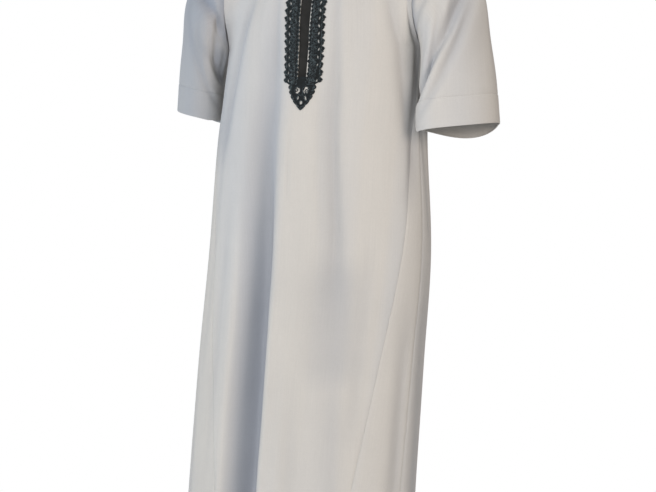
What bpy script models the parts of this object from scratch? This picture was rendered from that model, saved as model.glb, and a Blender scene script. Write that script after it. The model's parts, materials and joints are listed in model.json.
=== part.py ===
"""A jalabiya: a long, loose robe with wide elbow-length sleeves, hollow as it stands when it is worn.

The robe hangs from its shoulders. +Z is up, the front faces -Y and the wearer's left is +X. The origin lies
between the shoulders, at the height of the neck's side points. Lengths are metres and angles are degrees.
An angle round the body is 0 at the front middle and grows towards the wearer's left, so the back is 180.
"""

import math
from collections import namedtuple

import bmesh
import bpy
from mathutils import Vector

# Driving dimensions
HEM = -1.420
UNDERARM = -0.250
CLOTH = 0.0015
SEAM_GAP = 0.0003
NECK_SIDE = Vector((0.083, 0.005, 0.000))
NECK_FRONT = Vector((0.000, -0.080, -0.090))
NECK_BACK = Vector((0.000, 0.065, -0.022))
SHOULDER_TIP = Vector((0.222, 0.012, -0.052))
NECKBAND_HEIGHT = 0.020
NECKBAND_CLOTH = 0.0020
NECKBAND_LEAN = 0.06
ARMHOLE_BULGE = 0.055
ARMHOLE_PULL = 0.012
ARMHOLE_EASE = 0.9
CHEST_CURVE = 2.2
NECK_CURVE = 1.4
SLEEVE_HEM_DEPTH = 0.062
SLEEVE_HEM_CLOTH = 0.0026

# How the sleeve's threads leave the armhole and come down to the cuff
SLEEVE_TOP_SLOPE = 16.0
SLEEVE_UNDER_SLOPE = 65.0
SLEEVE_SPREAD = 0.35
SLEEVE_FLARE = 0.08
SLEEVE_START_PULL = 0.34
SLEEVE_START_PULL_TOP = 0.41
SLEEVE_END_PULL = 0.36
SLEEVE_END_PULL_TOP = 0.52

# The neck slit, the charcoal strip behind it and the lace on both sides of it. The slit lies a little to
# the wearer's right, by a length on the lace and by a share of the panel's half width on the panel.
SLIT_HALF_TOP = 0.0122
SLIT_HALF_END = 0.0093
SLIT_END = -0.318
SLIT_SHIFT = -0.0028
SLIT_SHIFT_SHARE = -0.0091
STRIP_HALF_WIDTH = 0.019
STRIP_TOP = -0.094
STRIP_BOTTOM = -0.336
STRIP_DEPTH = 0.0024
STRIP_CLOTH = 0.0012
LACE_THICKNESS = 0.0014
LACE_REPEATS = 16
LACE_END = -0.3285
LACE_INNER_TOP = 0.0148
LACE_INNER_END = 0.0119
LACE_NOTCH = 0.0385
LACE_TOOTH = 0.0438
LACE_CORNER = 0.010
LACE_CORNER_RISE = 0.007
LACE_TOP_INNER = -0.0925
LACE_TOP_OUTER = -0.0800
SLOT_ACROSS = 0.0315
SLOT_LENGTH = 0.0080
SLOT_WIDTH = 0.0033
SLOT_SLANT = 22.0
FINIAL_HALF_WIDTH = 0.0285
FINIAL_ROUNDNESS = 2.1
FINIAL_TIP = -0.380
FINIAL_TONGUE_TOP = -0.3130
FINIAL_SCALLOPS = 5
FINIAL_SWELL = 0.0022
OVAL_STEPS = 8

# The cut openings of the pointed lace piece. Down is a share of its height from its upper edge.
Opening = namedtuple("Opening", "across down length width slant")
FINIAL_OPENINGS = (
    Opening(-0.0088, 0.22, 0.0118, 0.0085, 10.0),
    Opening(0.0096, 0.22, 0.0128, 0.0098, -10.0),
    Opening(-0.0072, 0.52, 0.0075, 0.0030, -14.0),
    Opening(0.0088, 0.52, 0.0095, 0.0030, 22.0),
    Opening(0.0, 0.70, 0.0070, 0.0056, 0.0),
)

# How much farther out a band reaches at its top and at its end
Reach = namedtuple("Reach", "top end")
BAND_REACHES = {"lace_band_left": Reach(0.0, 0.0), "lace_band_right": Reach(0.0038, -0.0036)}

# One picot of the lace bands: how far along its repeat and how far out, as shares
Picot = namedtuple("Picot", "along out")
PICOT = (Picot(0.06, 0.0), Picot(0.36, 0.85), Picot(0.58, 1.0), Picot(0.90, 0.05))

# Share of the front or back, from its middle to its side, that the neckline takes
NECK_SHARE = 0.42
EDGE_INSET = 0.0007

Section = namedtuple("Section", "height half_width front_depth back_depth middle")
SECTIONS = (
    Section(-0.250, 0.213, 0.128, 0.120, -0.002),
    Section(-0.350, 0.221, 0.131, 0.122, -0.008),
    Section(-0.450, 0.228, 0.134, 0.125, -0.015),
    Section(-0.670, 0.242, 0.138, 0.134, -0.021),
    Section(-0.900, 0.248, 0.138, 0.141, -0.041),
    Section(-1.175, 0.2525, 0.139, 0.147, -0.0625),
    Section(-1.420, 0.257, 0.141, 0.152, -0.078),
)

# Where each side gore meets the front and the back panel
Seam = namedtuple("Seam", "height front_angle rear_angle")
SEAMS = (
    Seam(-0.250, 82.3, 83.7),
    Seam(-0.450, 70.0, 80.0),
    Seam(-0.670, 58.5, 77.0),
    Seam(-0.900, 47.5, 73.7),
    Seam(-1.175, 35.5, 70.0),
    Seam(-1.420, 25.0, 67.0),
)

# A fold runs through three (level, angle) points. The level is a height on the body, and on a sleeve the
# share of its length from the armhole. Before and after are its reach towards smaller and larger angles, and
# a flat fold has a level floor and a steep wall on its after side.
Fold = namedtuple("Fold", "start middle end depth before after flat")
FOLD_START_FADE = 0.30
FOLD_END_FADE = 0.25
BODY_FOLDS = {
    "main valley": Fold((-0.10, -24), (-0.62, -18), (-1.60, -19), 0.019, 9.0, 7.5, True),
    "valley's deep fold": Fold((-0.30, -18.5), (-0.90, -19), (-2.20, -20), 0.038, 9.0, 7.0, True),
    "ridge beside the valley": Fold((-0.50, -36), (-0.90, -33), (-1.60, -32), -0.006, 6.0, 6.0, False),
    "placket trough": Fold((-0.22, 15), (-0.55, 18), (-0.85, 21), 0.005, 5.0, 5.0, False),
    "lower trough": Fold((-0.82, 22), (-1.10, 26), (-1.60, 31), 0.005, 7.0, 6.0, False),
    "right edge crease": Fold((-0.08, -41), (-0.30, -51), (-0.52, -58), 0.005, 4.5, 5.0, False),
    "armpit fold": Fold((-0.06, 53), (-0.26, 56), (-0.56, 62), 0.009, 5.0, 4.5, False),
    "hip dip": Fold((-0.66, 20), (-0.80, 22), (-0.96, 24), 0.006, 12.0, 12.0, False),
    "left side trough": Fold((-0.62, 86), (-1.00, 88), (-1.60, 90), 0.010, 9.0, 9.0, False),
    "right side trough": Fold((-0.70, -92), (-1.05, -88), (-1.60, -84), 0.008, 9.0, 9.0, False),
    "back left trough": Fold((-0.34, 128), (-0.85, 126), (-1.60, 122), 0.016, 9.0, 9.0, False),
    "back ridge": Fold((-0.45, 150), (-0.95, 148), (-1.60, 146), -0.007, 10.0, 10.0, False),
    "back middle trough": Fold((-0.24, 176), (-0.80, 172), (-1.60, 168), 0.010, 8.0, 9.0, False),
    "back right trough": Fold((-0.30, 222), (-0.85, 226), (-1.60, 231), 0.018, 9.0, 9.0, True),
    "back shoulder fold left": Fold((-0.10, 118), (-0.24, 112), (-0.42, 108), 0.006, 7.0, 7.0, False),
    "back shoulder fold right": Fold((-0.10, 243), (-0.24, 249), (-0.42, 254), 0.006, 7.0, 7.0, False),
}

# The cuff is an oval. Out, back and height place its middle, turn is the angle of its long axis from outward
# towards the back, rise lifts its outer back end, lean lifts its front, droop lowers both long sides and sag
# lowers the outer part of its back edge.
Sleeve = namedtuple("Sleeve", "side out back height long_half short_half turn rise lean droop sag folds")
LEFT_FOLDS = {
    "long diagonal": Fold((0.15, -10), (0.50, 83), (0.92, 238), 0.014, 15.0, 28.0, False),
    "beside the diagonal": Fold((0.20, -2), (0.60, 63), (0.95, 140), 0.005, 13.0, 13.0, False),
    "back diagonal": Fold((0.12, -50), (0.45, -88), (0.84, -132), 0.009, 18.0, 20.0, False),
}
RIGHT_FOLDS = {
    "inner fold": Fold((-0.10, 100), (0.14, 130), (0.60, 165), 0.012, 22.0, 25.0, False),
    "front trough": Fold((0.22, 28), (0.58, 91), (0.92, 165), 0.006, 16.0, 16.0, False),
    "back diagonal": Fold((0.12, -50), (0.45, -84), (0.84, -126), 0.009, 18.0, 20.0, False),
}
LEFT_SLEEVE = Sleeve(1, 0.286, -0.021, -0.416, 0.089, 0.049, 38.5, 0.015, 0.0115, 0.005, 0.0225, LEFT_FOLDS)
RIGHT_SLEEVE = Sleeve(-1, 0.311, 0.046, -0.386, 0.090, 0.0480, 56, 0.022, 0.012, 0.004, 0.010, RIGHT_FOLDS)
SLEEVES = {"sleeve_left": LEFT_SLEEVE, "sleeve_right": RIGHT_SLEEVE}

# How finely each piece is divided
NECK_COLUMNS = 5
FRONT_SHOULDER_COLUMNS = 7
BACK_SHOULDER_COLUMNS = 8
GORE_COLUMNS = 5
UPPER_ROWS = 10
LOWER_ROWS = 20
SLEEVE_ROWS = 15
STRIP_ROWS = 12
STRIP_COLUMNS = 4
LACE_CELL_ACROSS = 0.017
LACE_CELL_DOWN = 0.021
SHARP_ANGLE = 40.0

COLOURS = {
    "cloth": ((0.59, 0.57, 0.54), 0.75),
    "placket": ((0.022, 0.022, 0.022), 0.80),
    "lace": ((0.018, 0.026, 0.030), 0.65),
}


def clear_scene():
    """Removes every object, so that the robe is all there is."""
    for thing in list(bpy.data.objects):
        bpy.data.objects.remove(thing, do_unlink=True)


def material(kind):
    """Returns a new plain material of that kind of cloth."""
    colour, roughness = COLOURS[kind]
    made = bpy.data.materials.new(kind)
    made.use_nodes = True
    shader = made.node_tree.nodes["Principled BSDF"]
    shader.inputs["Base Color"].default_value = (*colour, 1.0)
    shader.inputs["Roughness"].default_value = roughness
    shader.inputs["Metallic"].default_value = 0.0
    return made


def smooth_step(share):
    """Eases from 0 to 1."""
    share = min(max(share, 0.0), 1.0)
    return share * share * (3.0 - 2.0 * share)


def mix(start, end, share):
    """The value that lies that share of the way from start to end."""
    return start + (end - start) * share


def read_table(table, height):
    """Reads a table of named rows at a height, on a smooth curve through its rows, from the top down."""
    height = min(max(height, table[-1].height), table[0].height)
    upper = max(i for i in range(len(table) - 1) if table[i].height >= height)
    lower = upper + 1
    span = table[lower].height - table[upper].height
    share = (height - table[upper].height) / span
    before = table[max(upper - 1, 0)]
    after = table[min(lower + 1, len(table) - 1)]
    values = []
    for column in range(1, len(table[0])):
        start = table[upper][column]
        end = table[lower][column]
        start_slope = (end - before[column]) / (table[lower].height - before.height) * span
        end_slope = (after[column] - start) / (after.height - table[upper].height) * span
        value = start * (1 + 2 * share) * (1 - share) ** 2 + start_slope * share * (1 - share) ** 2
        value += end * share**2 * (3 - 2 * share) + end_slope * share**2 * (share - 1)
        values.append(value)
    return table[0]._make([height, *values])


def fold_depth(folds, level, angle):
    """How far the folds press the cloth in at a level and angle; a ridge counts below zero."""
    total = 0.0
    for fold in folds.values():
        (first, a), (second, b), (third, c) = fold.start, fold.middle, fold.end
        share = (level - first) / (third - first)
        if not 0.0 < share < 1.0:
            continue
        centre = a * (level - second) * (level - third) / ((first - second) * (first - third))
        centre += b * (level - first) * (level - third) / ((second - first) * (second - third))
        centre += c * (level - first) * (level - second) / ((third - first) * (third - second))
        away = (angle - centre + 180.0) % 360.0 - 180.0
        reach = fold.before if away < 0 else fold.after
        power = 4 if fold.flat and away > 0 else 2
        ends = smooth_step(share / FOLD_START_FADE) * smooth_step((1.0 - share) / FOLD_END_FADE)
        total += fold.depth * ends * math.exp(-((abs(away) / reach) ** power))
    return total


def ring_point(angle, height):
    """A point of the unfolded body at or below the underarm, and the level direction that faces out there."""
    section = read_table(SECTIONS, height)
    sine = math.sin(math.radians(angle))
    cosine = math.cos(math.radians(angle))
    depth = section.front_depth if cosine > 0 else section.back_depth
    point = Vector((section.middle + section.half_width * sine, -depth * cosine, height))
    away = Vector((sine / section.half_width, -cosine / depth, 0.0)).normalized()
    return point, away


def body_below(angle, height):
    """A point of the folded body at or below the underarm."""
    point, away = ring_point(angle, height)
    return point - away * fold_depth(BODY_FOLDS, height, angle)


def top_edge(across, front):
    """The upper edge of the front or back: the neckline near the middle, the shoulder seam beyond it."""
    share = abs(across)
    if share >= NECK_SHARE:
        point = NECK_SIDE.lerp(SHOULDER_TIP, (share - NECK_SHARE) / (1.0 - NECK_SHARE))
    else:
        turn = math.radians(90.0 * share / NECK_SHARE)
        middle = NECK_FRONT if front else NECK_BACK
        y = mix(NECK_SIDE.y, middle.y, math.cos(turn))
        point = Vector((NECK_SIDE.x * math.sin(turn), y, middle.z * math.cos(turn) ** NECK_CURVE))
    return Vector((math.copysign(point.x, across), point.y, point.z))


def body_above(across, rise, front):
    """A point above the underarm. Across runs from -1 to 1, rise from 0 at the underarm to 1 at the top."""
    seam = SEAMS[0].front_angle if front else SEAMS[0].rear_angle
    angle = seam * across if front else 180.0 - (180.0 - seam) * across
    low, away = ring_point(angle, UNDERARM)
    high = top_edge(across, front)
    armhole = math.sin(math.pi * rise) ** ARMHOLE_EASE if 0.0 < rise < 1.0 else 0.0
    x = mix(low.x, high.x, rise) - math.copysign(ARMHOLE_PULL * armhole * abs(across) ** 3, across)
    y = mix(low.y, high.y, max(rise, 0.0) ** CHEST_CURVE)
    y += (-1 if front else 1) * ARMHOLE_BULGE * armhole * across**4
    z = mix(low.z, high.z, rise)
    fade = smooth_step((1.0 - rise) / 0.3)
    return Vector((x, y, z)) - away * fold_depth(BODY_FOLDS, z, angle) * fade


def outward(place, first, second, steps):
    """The outward normal of a surface: place gives its point, and its two values run left and up."""
    step_one, step_two = steps
    left = place(first + step_one, second) - place(first - step_one, second)
    up = place(first, second + step_two) - place(first, second - step_two)
    return left.cross(up).normalized()


def normal_below(angle, height):
    """The outward normal of the body at or below the underarm."""
    return outward(body_below, angle, height, (1.5, 0.008))


def normal_above(across, rise, front):
    """The outward normal of the body above the underarm."""
    way = 1 if front else -1
    return outward(lambda a, b: body_above(a * way, b, front), across * way, rise, (0.02, 0.03))


def lower_heights():
    """The heights of the rows from the underarm to the hem, with one at the slit's end."""
    even = [mix(SLIT_END, HEM, step / LOWER_ROWS) for step in range(LOWER_ROWS + 1)]
    return [UNDERARM, mix(UNDERARM, SLIT_END, 0.5), *even]


def seam_angles(height):
    """The angles at which the front and the back end at a height, clear of the seam by half its gap."""
    seam = read_table(SEAMS, height)
    section = read_table(SECTIONS, height)
    angles = []
    for angle, way in ((seam.front_angle, -1), (seam.rear_angle, 1)):
        turn = math.radians(angle)
        run = math.hypot(section.half_width * math.cos(turn), section.front_depth * math.sin(turn))
        angles.append(angle + way * math.degrees(SEAM_GAP / 2 / run))
    return angles


def slit_across(height):
    """How far across the front the slit's edge lies at a height."""
    share = (height - NECK_FRONT.z) / (SLIT_END - NECK_FRONT.z)
    half = mix(SLIT_HALF_TOP, SLIT_HALF_END, min(max(share, 0.0), 1.0))
    return half / (SECTIONS[0].half_width * math.radians(SEAMS[0].front_angle))


def front_columns(height):
    """Where the front's columns lie from the wearer's right to the left, with one on each edge of the slit."""
    edge = slit_across(height)
    half = [mix(edge, NECK_SHARE, step / NECK_COLUMNS) for step in range(NECK_COLUMNS)]
    half += [mix(NECK_SHARE, 1.0, step / FRONT_SHOULDER_COLUMNS) for step in range(FRONT_SHOULDER_COLUMNS + 1)]
    return [shifted(-across) for across in reversed(half)] + [shifted(across) for across in half]


def shifted(across):
    """Moves a column between the neck's side points along with the slit."""
    share = min(abs(across) / NECK_SHARE, 1.0)
    return across + SLIT_SHIFT_SHARE * (1.0 - share**2)


def back_columns():
    """Where the back's columns lie, from the wearer's left to the right."""
    half = [mix(0.0, NECK_SHARE, step / NECK_COLUMNS) for step in range(NECK_COLUMNS)]
    half += [mix(NECK_SHARE, 1.0, step / BACK_SHOULDER_COLUMNS) for step in range(BACK_SHOULDER_COLUMNS + 1)]
    return [*reversed(half), *[-across for across in half[1:]]]


def shoulder_normal(across, rise):
    """The direction of the shoulder seam's edge, half way between the front's and the back's."""
    return (normal_above(across, rise, True) + normal_above(across, rise, False)).normalized()


def body_panel(front, joints):
    """The outer points of the front or back and the normals there, row by row from the top."""
    rows = []
    normals = []
    for step in range(UPPER_ROWS, 0, -1):
        rise = 1.0 - EDGE_INSET if step == UPPER_ROWS else step / UPPER_ROWS
        height = mix(UNDERARM, NECK_FRONT.z, rise)
        columns = front_columns(height) if front else back_columns()
        row = [body_above(across, rise, front) for across in columns]
        line = [normal_above(across, rise, front) for across in columns]
        if step == UPPER_ROWS:
            line = [
                shoulder_normal(across, rise) if abs(across) >= NECK_SHARE else normal
                for across, normal in zip(columns, line)
            ]
        set_ends(row, line, step, front, joints)
        rows.append(row)
        normals.append(line)
    for height in lower_heights():
        edge = seam_angles(height)[0 if front else 1]
        columns = front_columns(height) if front else back_columns()
        turns = [edge * across if front else 180.0 - (180.0 - edge) * across for across in columns]
        row = [body_below(angle, height) for angle in turns]
        line = [normal_below(angle, height) for angle in turns]
        if height == UNDERARM:
            set_ends(row, line, 0, front, joints)
        rows.append(row)
        normals.append(line)
    return rows, normals


def set_ends(row, line, step, front, joints):
    """Sets both ends of a panel's row back from the armhole and gives them its edge direction."""
    index = step if front else 2 * UPPER_ROWS - step
    for end, side in ((0, -1), (-1, 1)) if front else ((0, 1), (-1, -1)):
        joint = joints[side][index]
        row[end] = row[end] - joint.aside * (SEAM_GAP / 2)
        line[end] = joint.normal


def armhole_loop(side):
    """The armhole, from the underarm up its front edge to the shoulder and down its back edge."""
    front = [body_above(side, step / UPPER_ROWS, True) for step in range(UPPER_ROWS + 1)]
    back = [body_above(side, step / UPPER_ROWS, False) for step in range(UPPER_ROWS)]
    return front + back[::-1]


# The shared edge direction at a point of the armhole, and the way across the seam there, out of the body
Joint = namedtuple("Joint", "normal aside")


def armhole_joints(side, sleeve_normals):
    """The joint of body and sleeve at each point of the armhole, its edge half way between their normals."""
    loop = armhole_loop(side)
    joints = []
    for index, sleeve_normal in enumerate(sleeve_normals):
        front = index <= UPPER_ROWS
        step = index if front else 2 * UPPER_ROWS - index
        rise = step / UPPER_ROWS
        if step == 0:
            body_normal = normal_below(side * SEAMS[0].front_angle, UNDERARM)
        elif step == UPPER_ROWS:
            body_normal = shoulder_normal(side, rise)
        else:
            body_normal = normal_above(side, rise, front)
        normal = (body_normal + sleeve_normal).normalized()
        along = loop[(index + 1) % len(loop)] - loop[index - 1]
        joints.append(Joint(normal, along.cross(normal).normalized() * side))
    return joints


def loop_angles(loop):
    """The angle of each point round the sleeve: 0 at the shoulder, growing to the front, 180 below the arm."""
    lengths = [0.0]
    for start, end in zip(loop, loop[1:] + loop[:1]):
        lengths.append(lengths[-1] + (end - start).length)
    top = lengths[UPPER_ROWS]
    return [360.0 * (top - length) / lengths[-1] for length in lengths[:-1]]


def cuff_point(sleeve, angle):
    """A point of the sleeve's lower edge."""
    turn = math.radians(sleeve.turn)
    around = math.radians(angle) + turn
    long_way = Vector((math.cos(turn), math.sin(turn), 0.0))
    short_way = Vector((math.sin(turn), -math.cos(turn), 0.0))
    lift = sleeve.rise / 2 * math.cos(around) + sleeve.lean * math.sin(around)
    lift -= sleeve.droop * math.sin(around) ** 2
    lift += sleeve.sag * min(math.sin(around), 0.0) * math.cos(around)
    point = Vector((sleeve.out, sleeve.back, sleeve.height + lift))
    point += long_way * sleeve.long_half * math.cos(around)
    point += short_way * sleeve.short_half * math.sin(around)
    return Vector((point.x * sleeve.side, point.y, point.z))


def sleeve_thread(sleeve, start, angle):
    """The four control points of the curve that one lengthwise thread of the sleeve follows."""
    end = cuff_point(sleeve, angle)
    under = (1.0 - math.cos(math.radians(angle))) / 2
    slope = math.radians(mix(SLEEVE_TOP_SLOPE, SLEEVE_UNDER_SLOPE, under))
    spread = -SLEEVE_SPREAD * math.sin(math.radians(angle))
    out = Vector((math.cos(slope) * sleeve.side, spread, -math.sin(slope)))
    up = Vector((-SLEEVE_FLARE * sleeve.side, 0.0, 1.0))
    span = (end - start).length
    first = start + out * span * mix(SLEEVE_START_PULL_TOP, SLEEVE_START_PULL, under)
    second = end + up * span * mix(SLEEVE_END_PULL_TOP, SLEEVE_END_PULL, under)
    return start, first, second, end


def sleeve_grid(sleeve):
    """The sleeve's outer points and their normals, row by row from the armhole, in the armhole's order."""
    loop = armhole_loop(sleeve.side)
    angles = loop_angles(loop)
    threads = [sleeve_thread(sleeve, start, angle) for start, angle in zip(loop, angles)]
    rows = []
    shares = [step / SLEEVE_ROWS for step in range(SLEEVE_ROWS + 1)]
    for share in shares:
        rest = 1.0 - share
        weights = (rest**3, 3 * rest**2 * share, 3 * rest * share**2, share**3)
        rows.append([sum((w * p for w, p in zip(weights, thread)), Vector()) for thread in threads])
    normals = ring_normals(rows, sleeve.side)
    for share, row, line in zip(shares, rows, normals):
        fade = smooth_step(share / 0.12)
        for j, angle in enumerate(angles):
            row[j] -= line[j] * fold_depth(sleeve.folds, share, angle) * fade
    return rows, ring_normals(rows, sleeve.side)


def ring_normals(rows, side):
    """Outward normals of a tube whose rings follow the armhole's order on that side."""
    normals = []
    last = len(rows) - 1
    for i, row in enumerate(rows):
        line = []
        for j in range(len(row)):
            round_it = row[(j + 1) % len(row)] - row[j - 1]
            down = rows[min(i + 1, last)][j] - rows[max(i - 1, 0)][j]
            line.append(down.cross(round_it).normalized() * side)
        normals.append(line)
    return normals


def sheet_normals(rows):
    """Outward normals of a sheet whose rows run down and whose columns run to the wearer's left in front."""
    normals = []
    last = len(rows) - 1
    for i, row in enumerate(rows):
        line = []
        for j in range(len(row)):
            across = row[min(j + 1, len(row) - 1)] - row[max(j - 1, 0)]
            down = rows[min(i + 1, last)][j] - rows[max(i - 1, 0)][j]
            line.append(down.cross(across).normalized())
        normals.append(line)
    return normals


def thick_cloth(collection, name, kind, rows, normals, closed=False, depths=None, skipped=()):
    """Makes one closed solid: the grid as its outer face and the same grid moved in as its inner face."""
    mesh = bmesh.new()
    count = len(rows[0])
    outer = []
    inner = []
    for i, row in enumerate(rows):
        depth = depths[i] if depths else CLOTH
        outer.append([mesh.verts.new(point) for point in row])
        inner.append([mesh.verts.new(point - normal * depth) for point, normal in zip(row, normals[i])])
    border = set()
    for i in range(len(rows) - 1):
        for j in range(count if closed else count - 1):
            if (i, j) in skipped:
                continue
            k = (j + 1) % count
            loop = [(i, j), (i + 1, j), (i + 1, k), (i, k)]
            add_cell(mesh, [outer[a][b] for a, b in loop], [inner[a][b] for a, b in loop])
            for start, end in zip(loop, loop[1:] + loop[:1]):
                if (end, start) in border:
                    border.remove((end, start))
                else:
                    border.add((start, end))
    for start, end in sorted(border):
        add_wall(mesh, *(face[a][b] for a, b in (start, end) for face in (outer, inner)))
    loose = [vertex for vertex in mesh.verts if not vertex.link_faces]
    bmesh.ops.delete(mesh, geom=loose, context="VERTS")
    data = bpy.data.meshes.new(name)
    mesh.to_mesh(data)
    mesh.free()
    return add_object(collection, name, kind, data)


def add_cell(mesh, outer, inner):
    """Adds a cell of both faces of the cloth, split alike along the outer one's shorter diagonal."""
    first = (outer[0].co - outer[2].co).length
    second = (outer[1].co - outer[3].co).length
    for corners in ((0, 1, 2), (0, 2, 3)) if first <= second else ((0, 1, 3), (1, 2, 3)):
        mesh.faces.new([outer[corner] for corner in corners])
        mesh.faces.new([inner[corner] for corner in reversed(corners)])


def add_wall(mesh, start, start_inner, end, end_inner):
    """Closes one edge of the cloth. The diagonal starts at the higher outer point, as in the piece beside it."""
    if (start.co.z, start.co.y) > (end.co.z, end.co.y):
        mesh.faces.new([end, start, end_inner])
        mesh.faces.new([start, start_inner, end_inner])
    else:
        mesh.faces.new([end, start, start_inner])
        mesh.faces.new([end, start_inner, end_inner])


def add_object(collection, name, kind, data):
    """Adds a named object with its own material, shaded smooth but for its sharp edges."""
    data.materials.clear()
    data.materials.append(material(kind))
    data.shade_smooth()
    data.set_sharp_from_angle(angle=math.radians(SHARP_ANGLE))
    thing = bpy.data.objects.new(name, data)
    collection.objects.link(thing)
    return thing


def add_body(collection, joints):
    """The front with its slit, and the back."""
    rows, normals = body_panel(True, joints)
    middle = len(rows[0]) // 2 - 1
    slit_row = UPPER_ROWS + lower_heights().index(SLIT_END)
    slit = {(row, middle) for row in range(slit_row)}
    thick_cloth(collection, "front", "cloth", rows, normals, skipped=slit)
    rows, normals = body_panel(False, joints)
    thick_cloth(collection, "back", "cloth", rows, normals)


def add_gores(collection, joints):
    """The long triangles between the front and the back."""
    for name, side in (("side_gore_left", 1), ("side_gore_right", -1)):
        rows = []
        normals = []
        for height in lower_heights():
            seam = read_table(SEAMS, height)
            front_end, rear_end = seam_angles(height)
            start = 2 * seam.front_angle - front_end
            end = 2 * seam.rear_angle - rear_end
            turns = [side * mix(start, end, step / GORE_COLUMNS) for step in range(GORE_COLUMNS + 1)]
            rows.append([body_below(angle, height) for angle in turns])
            normals.append([normal_below(angle, height) for angle in turns])
        first, last = joints[side][0], joints[side][-1]
        for step in range(GORE_COLUMNS + 1):
            share = step / GORE_COLUMNS
            rows[0][step] -= first.aside.lerp(last.aside, share) * (SEAM_GAP / 2)
            normals[0][step] = first.normal.lerp(last.normal, share).normalized()
        thick_cloth(collection, name, "cloth", *(rows, normals) if side > 0 else mirrored_order(rows, normals))


def mirrored_order(rows, normals):
    """The same grid with each row read the other way round, so that its faces look out."""
    return [row[::-1] for row in rows], [line[::-1] for line in normals]


def add_sleeves(collection, grids, joints):
    """The sleeves, whose deep hem is turned in and so twice as thick."""
    for name, sleeve in SLEEVES.items():
        rows, normals = grids[name]
        joints_here = joints[sleeve.side]
        rows[0] = [point + joint.aside * (SEAM_GAP / 2) for point, joint in zip(rows[0], joints_here)]
        normals[0] = [joint.normal for joint in joints_here]
        length = sum((b[0] - a[0]).length for a, b in zip(rows, rows[1:]))
        hem_rows = round(SLEEVE_HEM_DEPTH / length * SLEEVE_ROWS)
        depths = [CLOTH] * (len(rows) - hem_rows) + [SLEEVE_HEM_CLOTH] * hem_rows
        if sleeve.side < 0:
            rows, normals = mirrored_order(rows, normals)
        thick_cloth(collection, name, "cloth", rows, normals, closed=True, depths=depths)


def neckline():
    """The neckline's points from the slit's left edge, round the back, to its right edge."""
    rise = 1.0 - EDGE_INSET
    edge = slit_across(NECK_FRONT.z)
    front = [mix(edge, NECK_SHARE, step / NECK_COLUMNS) for step in range(NECK_COLUMNS + 1)]
    back = [mix(NECK_SHARE, -NECK_SHARE, step / 2 / NECK_COLUMNS) for step in range(1, 2 * NECK_COLUMNS)]
    points = [body_above(shifted(across), rise, True) for across in front]
    points += [body_above(across, rise, False) for across in back]
    points += [body_above(shifted(-across), rise, True) for across in reversed(front)]
    return points


def add_neckband(collection):
    """A narrow band that stands round the neck, open in front over the slit."""
    low = [point + Vector((0.0, 0.0, SEAM_GAP)) for point in neckline()]
    centre = Vector((0.0, (NECK_FRONT.y + NECK_BACK.y) / 2, 0.0))
    rows = []
    for share in (1.0, 0.5, 0.0):
        row = []
        for point in low:
            inward = centre - point
            lean = Vector((inward.x, inward.y, 0.0)) * NECKBAND_LEAN
            row.append(point + (lean + Vector((0.0, 0.0, NECKBAND_HEIGHT))) * share)
        rows.append(row)
    depths = [NECKBAND_CLOTH] * len(rows)
    thick_cloth(collection, "neckband", "cloth", rows, sheet_normals(rows), depths=depths)


def front_at(offset, height):
    """The front's outer point, and the normal there, at an offset from the slit's middle and a height."""
    offset += SLIT_SHIFT
    if height <= UNDERARM:
        section = read_table(SECTIONS, height)
        angle = math.degrees(math.asin(offset / section.half_width))
        return body_below(angle, height), normal_below(angle, height)
    across = offset / (SECTIONS[0].half_width * math.radians(SEAMS[0].front_angle))
    for _ in range(4):
        rise = (height - UNDERARM) / (top_edge(across, True).z - UNDERARM)
        reached = body_above(across, rise, True).x - body_above(0.0, rise, True).x
        if offset:
            across *= offset / reached
    return body_above(across, rise, True), normal_above(across, rise, True)


def add_strip(collection):
    """The charcoal underlap that closes the slit from behind."""
    rows = []
    normals = []
    for i in range(STRIP_ROWS + 1):
        height = mix(STRIP_TOP, STRIP_BOTTOM, i / STRIP_ROWS)
        places = [mix(-STRIP_HALF_WIDTH, STRIP_HALF_WIDTH, j / STRIP_COLUMNS) for j in range(STRIP_COLUMNS + 1)]
        found = [front_at(offset, height) for offset in places]
        rows.append([point - normal * STRIP_DEPTH for point, normal in found])
        normals.append([normal for point, normal in found])
    depths = [STRIP_CLOTH] * len(rows)
    thick_cloth(collection, "placket_strip", "placket", rows, normals, depths=depths)


def spread(across, height, reach):
    """Moves a band's places outwards, the more the nearer they lie to its outer edge."""
    share = (height - LACE_TOP_INNER) / (LACE_END - LACE_TOP_INNER)
    inner = mix(LACE_INNER_TOP, LACE_INNER_END, share)
    return across + mix(reach.top, reach.end, share) * (across - inner) / (LACE_NOTCH - inner)


def lace_band_outline(reach):
    """A lace band: its outline, notched into picots, and the slots cut behind them, leaning to and fro."""
    outline = [(LACE_INNER_TOP, LACE_TOP_INNER), (LACE_INNER_END, LACE_END)]
    outline.append((spread(LACE_NOTCH - LACE_CORNER, LACE_END, reach), LACE_END))
    slots = []
    pitch = (LACE_END - LACE_TOP_OUTER) / LACE_REPEATS
    deep = LACE_TOOTH - LACE_NOTCH
    for repeat in range(LACE_REPEATS, 0, -1):
        for point in reversed(PICOT):
            height = LACE_TOP_OUTER + pitch * (repeat - 1 + point.along)
            if height > LACE_END + LACE_CORNER_RISE:
                outline.append((spread(LACE_NOTCH + deep * point.out, height, reach), height))
        height = LACE_TOP_OUTER + pitch * (repeat - 0.5)
        slant = SLOT_SLANT if repeat % 2 else -SLOT_SLANT
        if LACE_END + LACE_CORNER < height < LACE_TOP_OUTER - LACE_CORNER:
            centre = (spread(SLOT_ACROSS, height, reach), height)
            slots.append(slot_outline(centre, SLOT_LENGTH, SLOT_WIDTH, slant))
    return outline, slots


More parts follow.
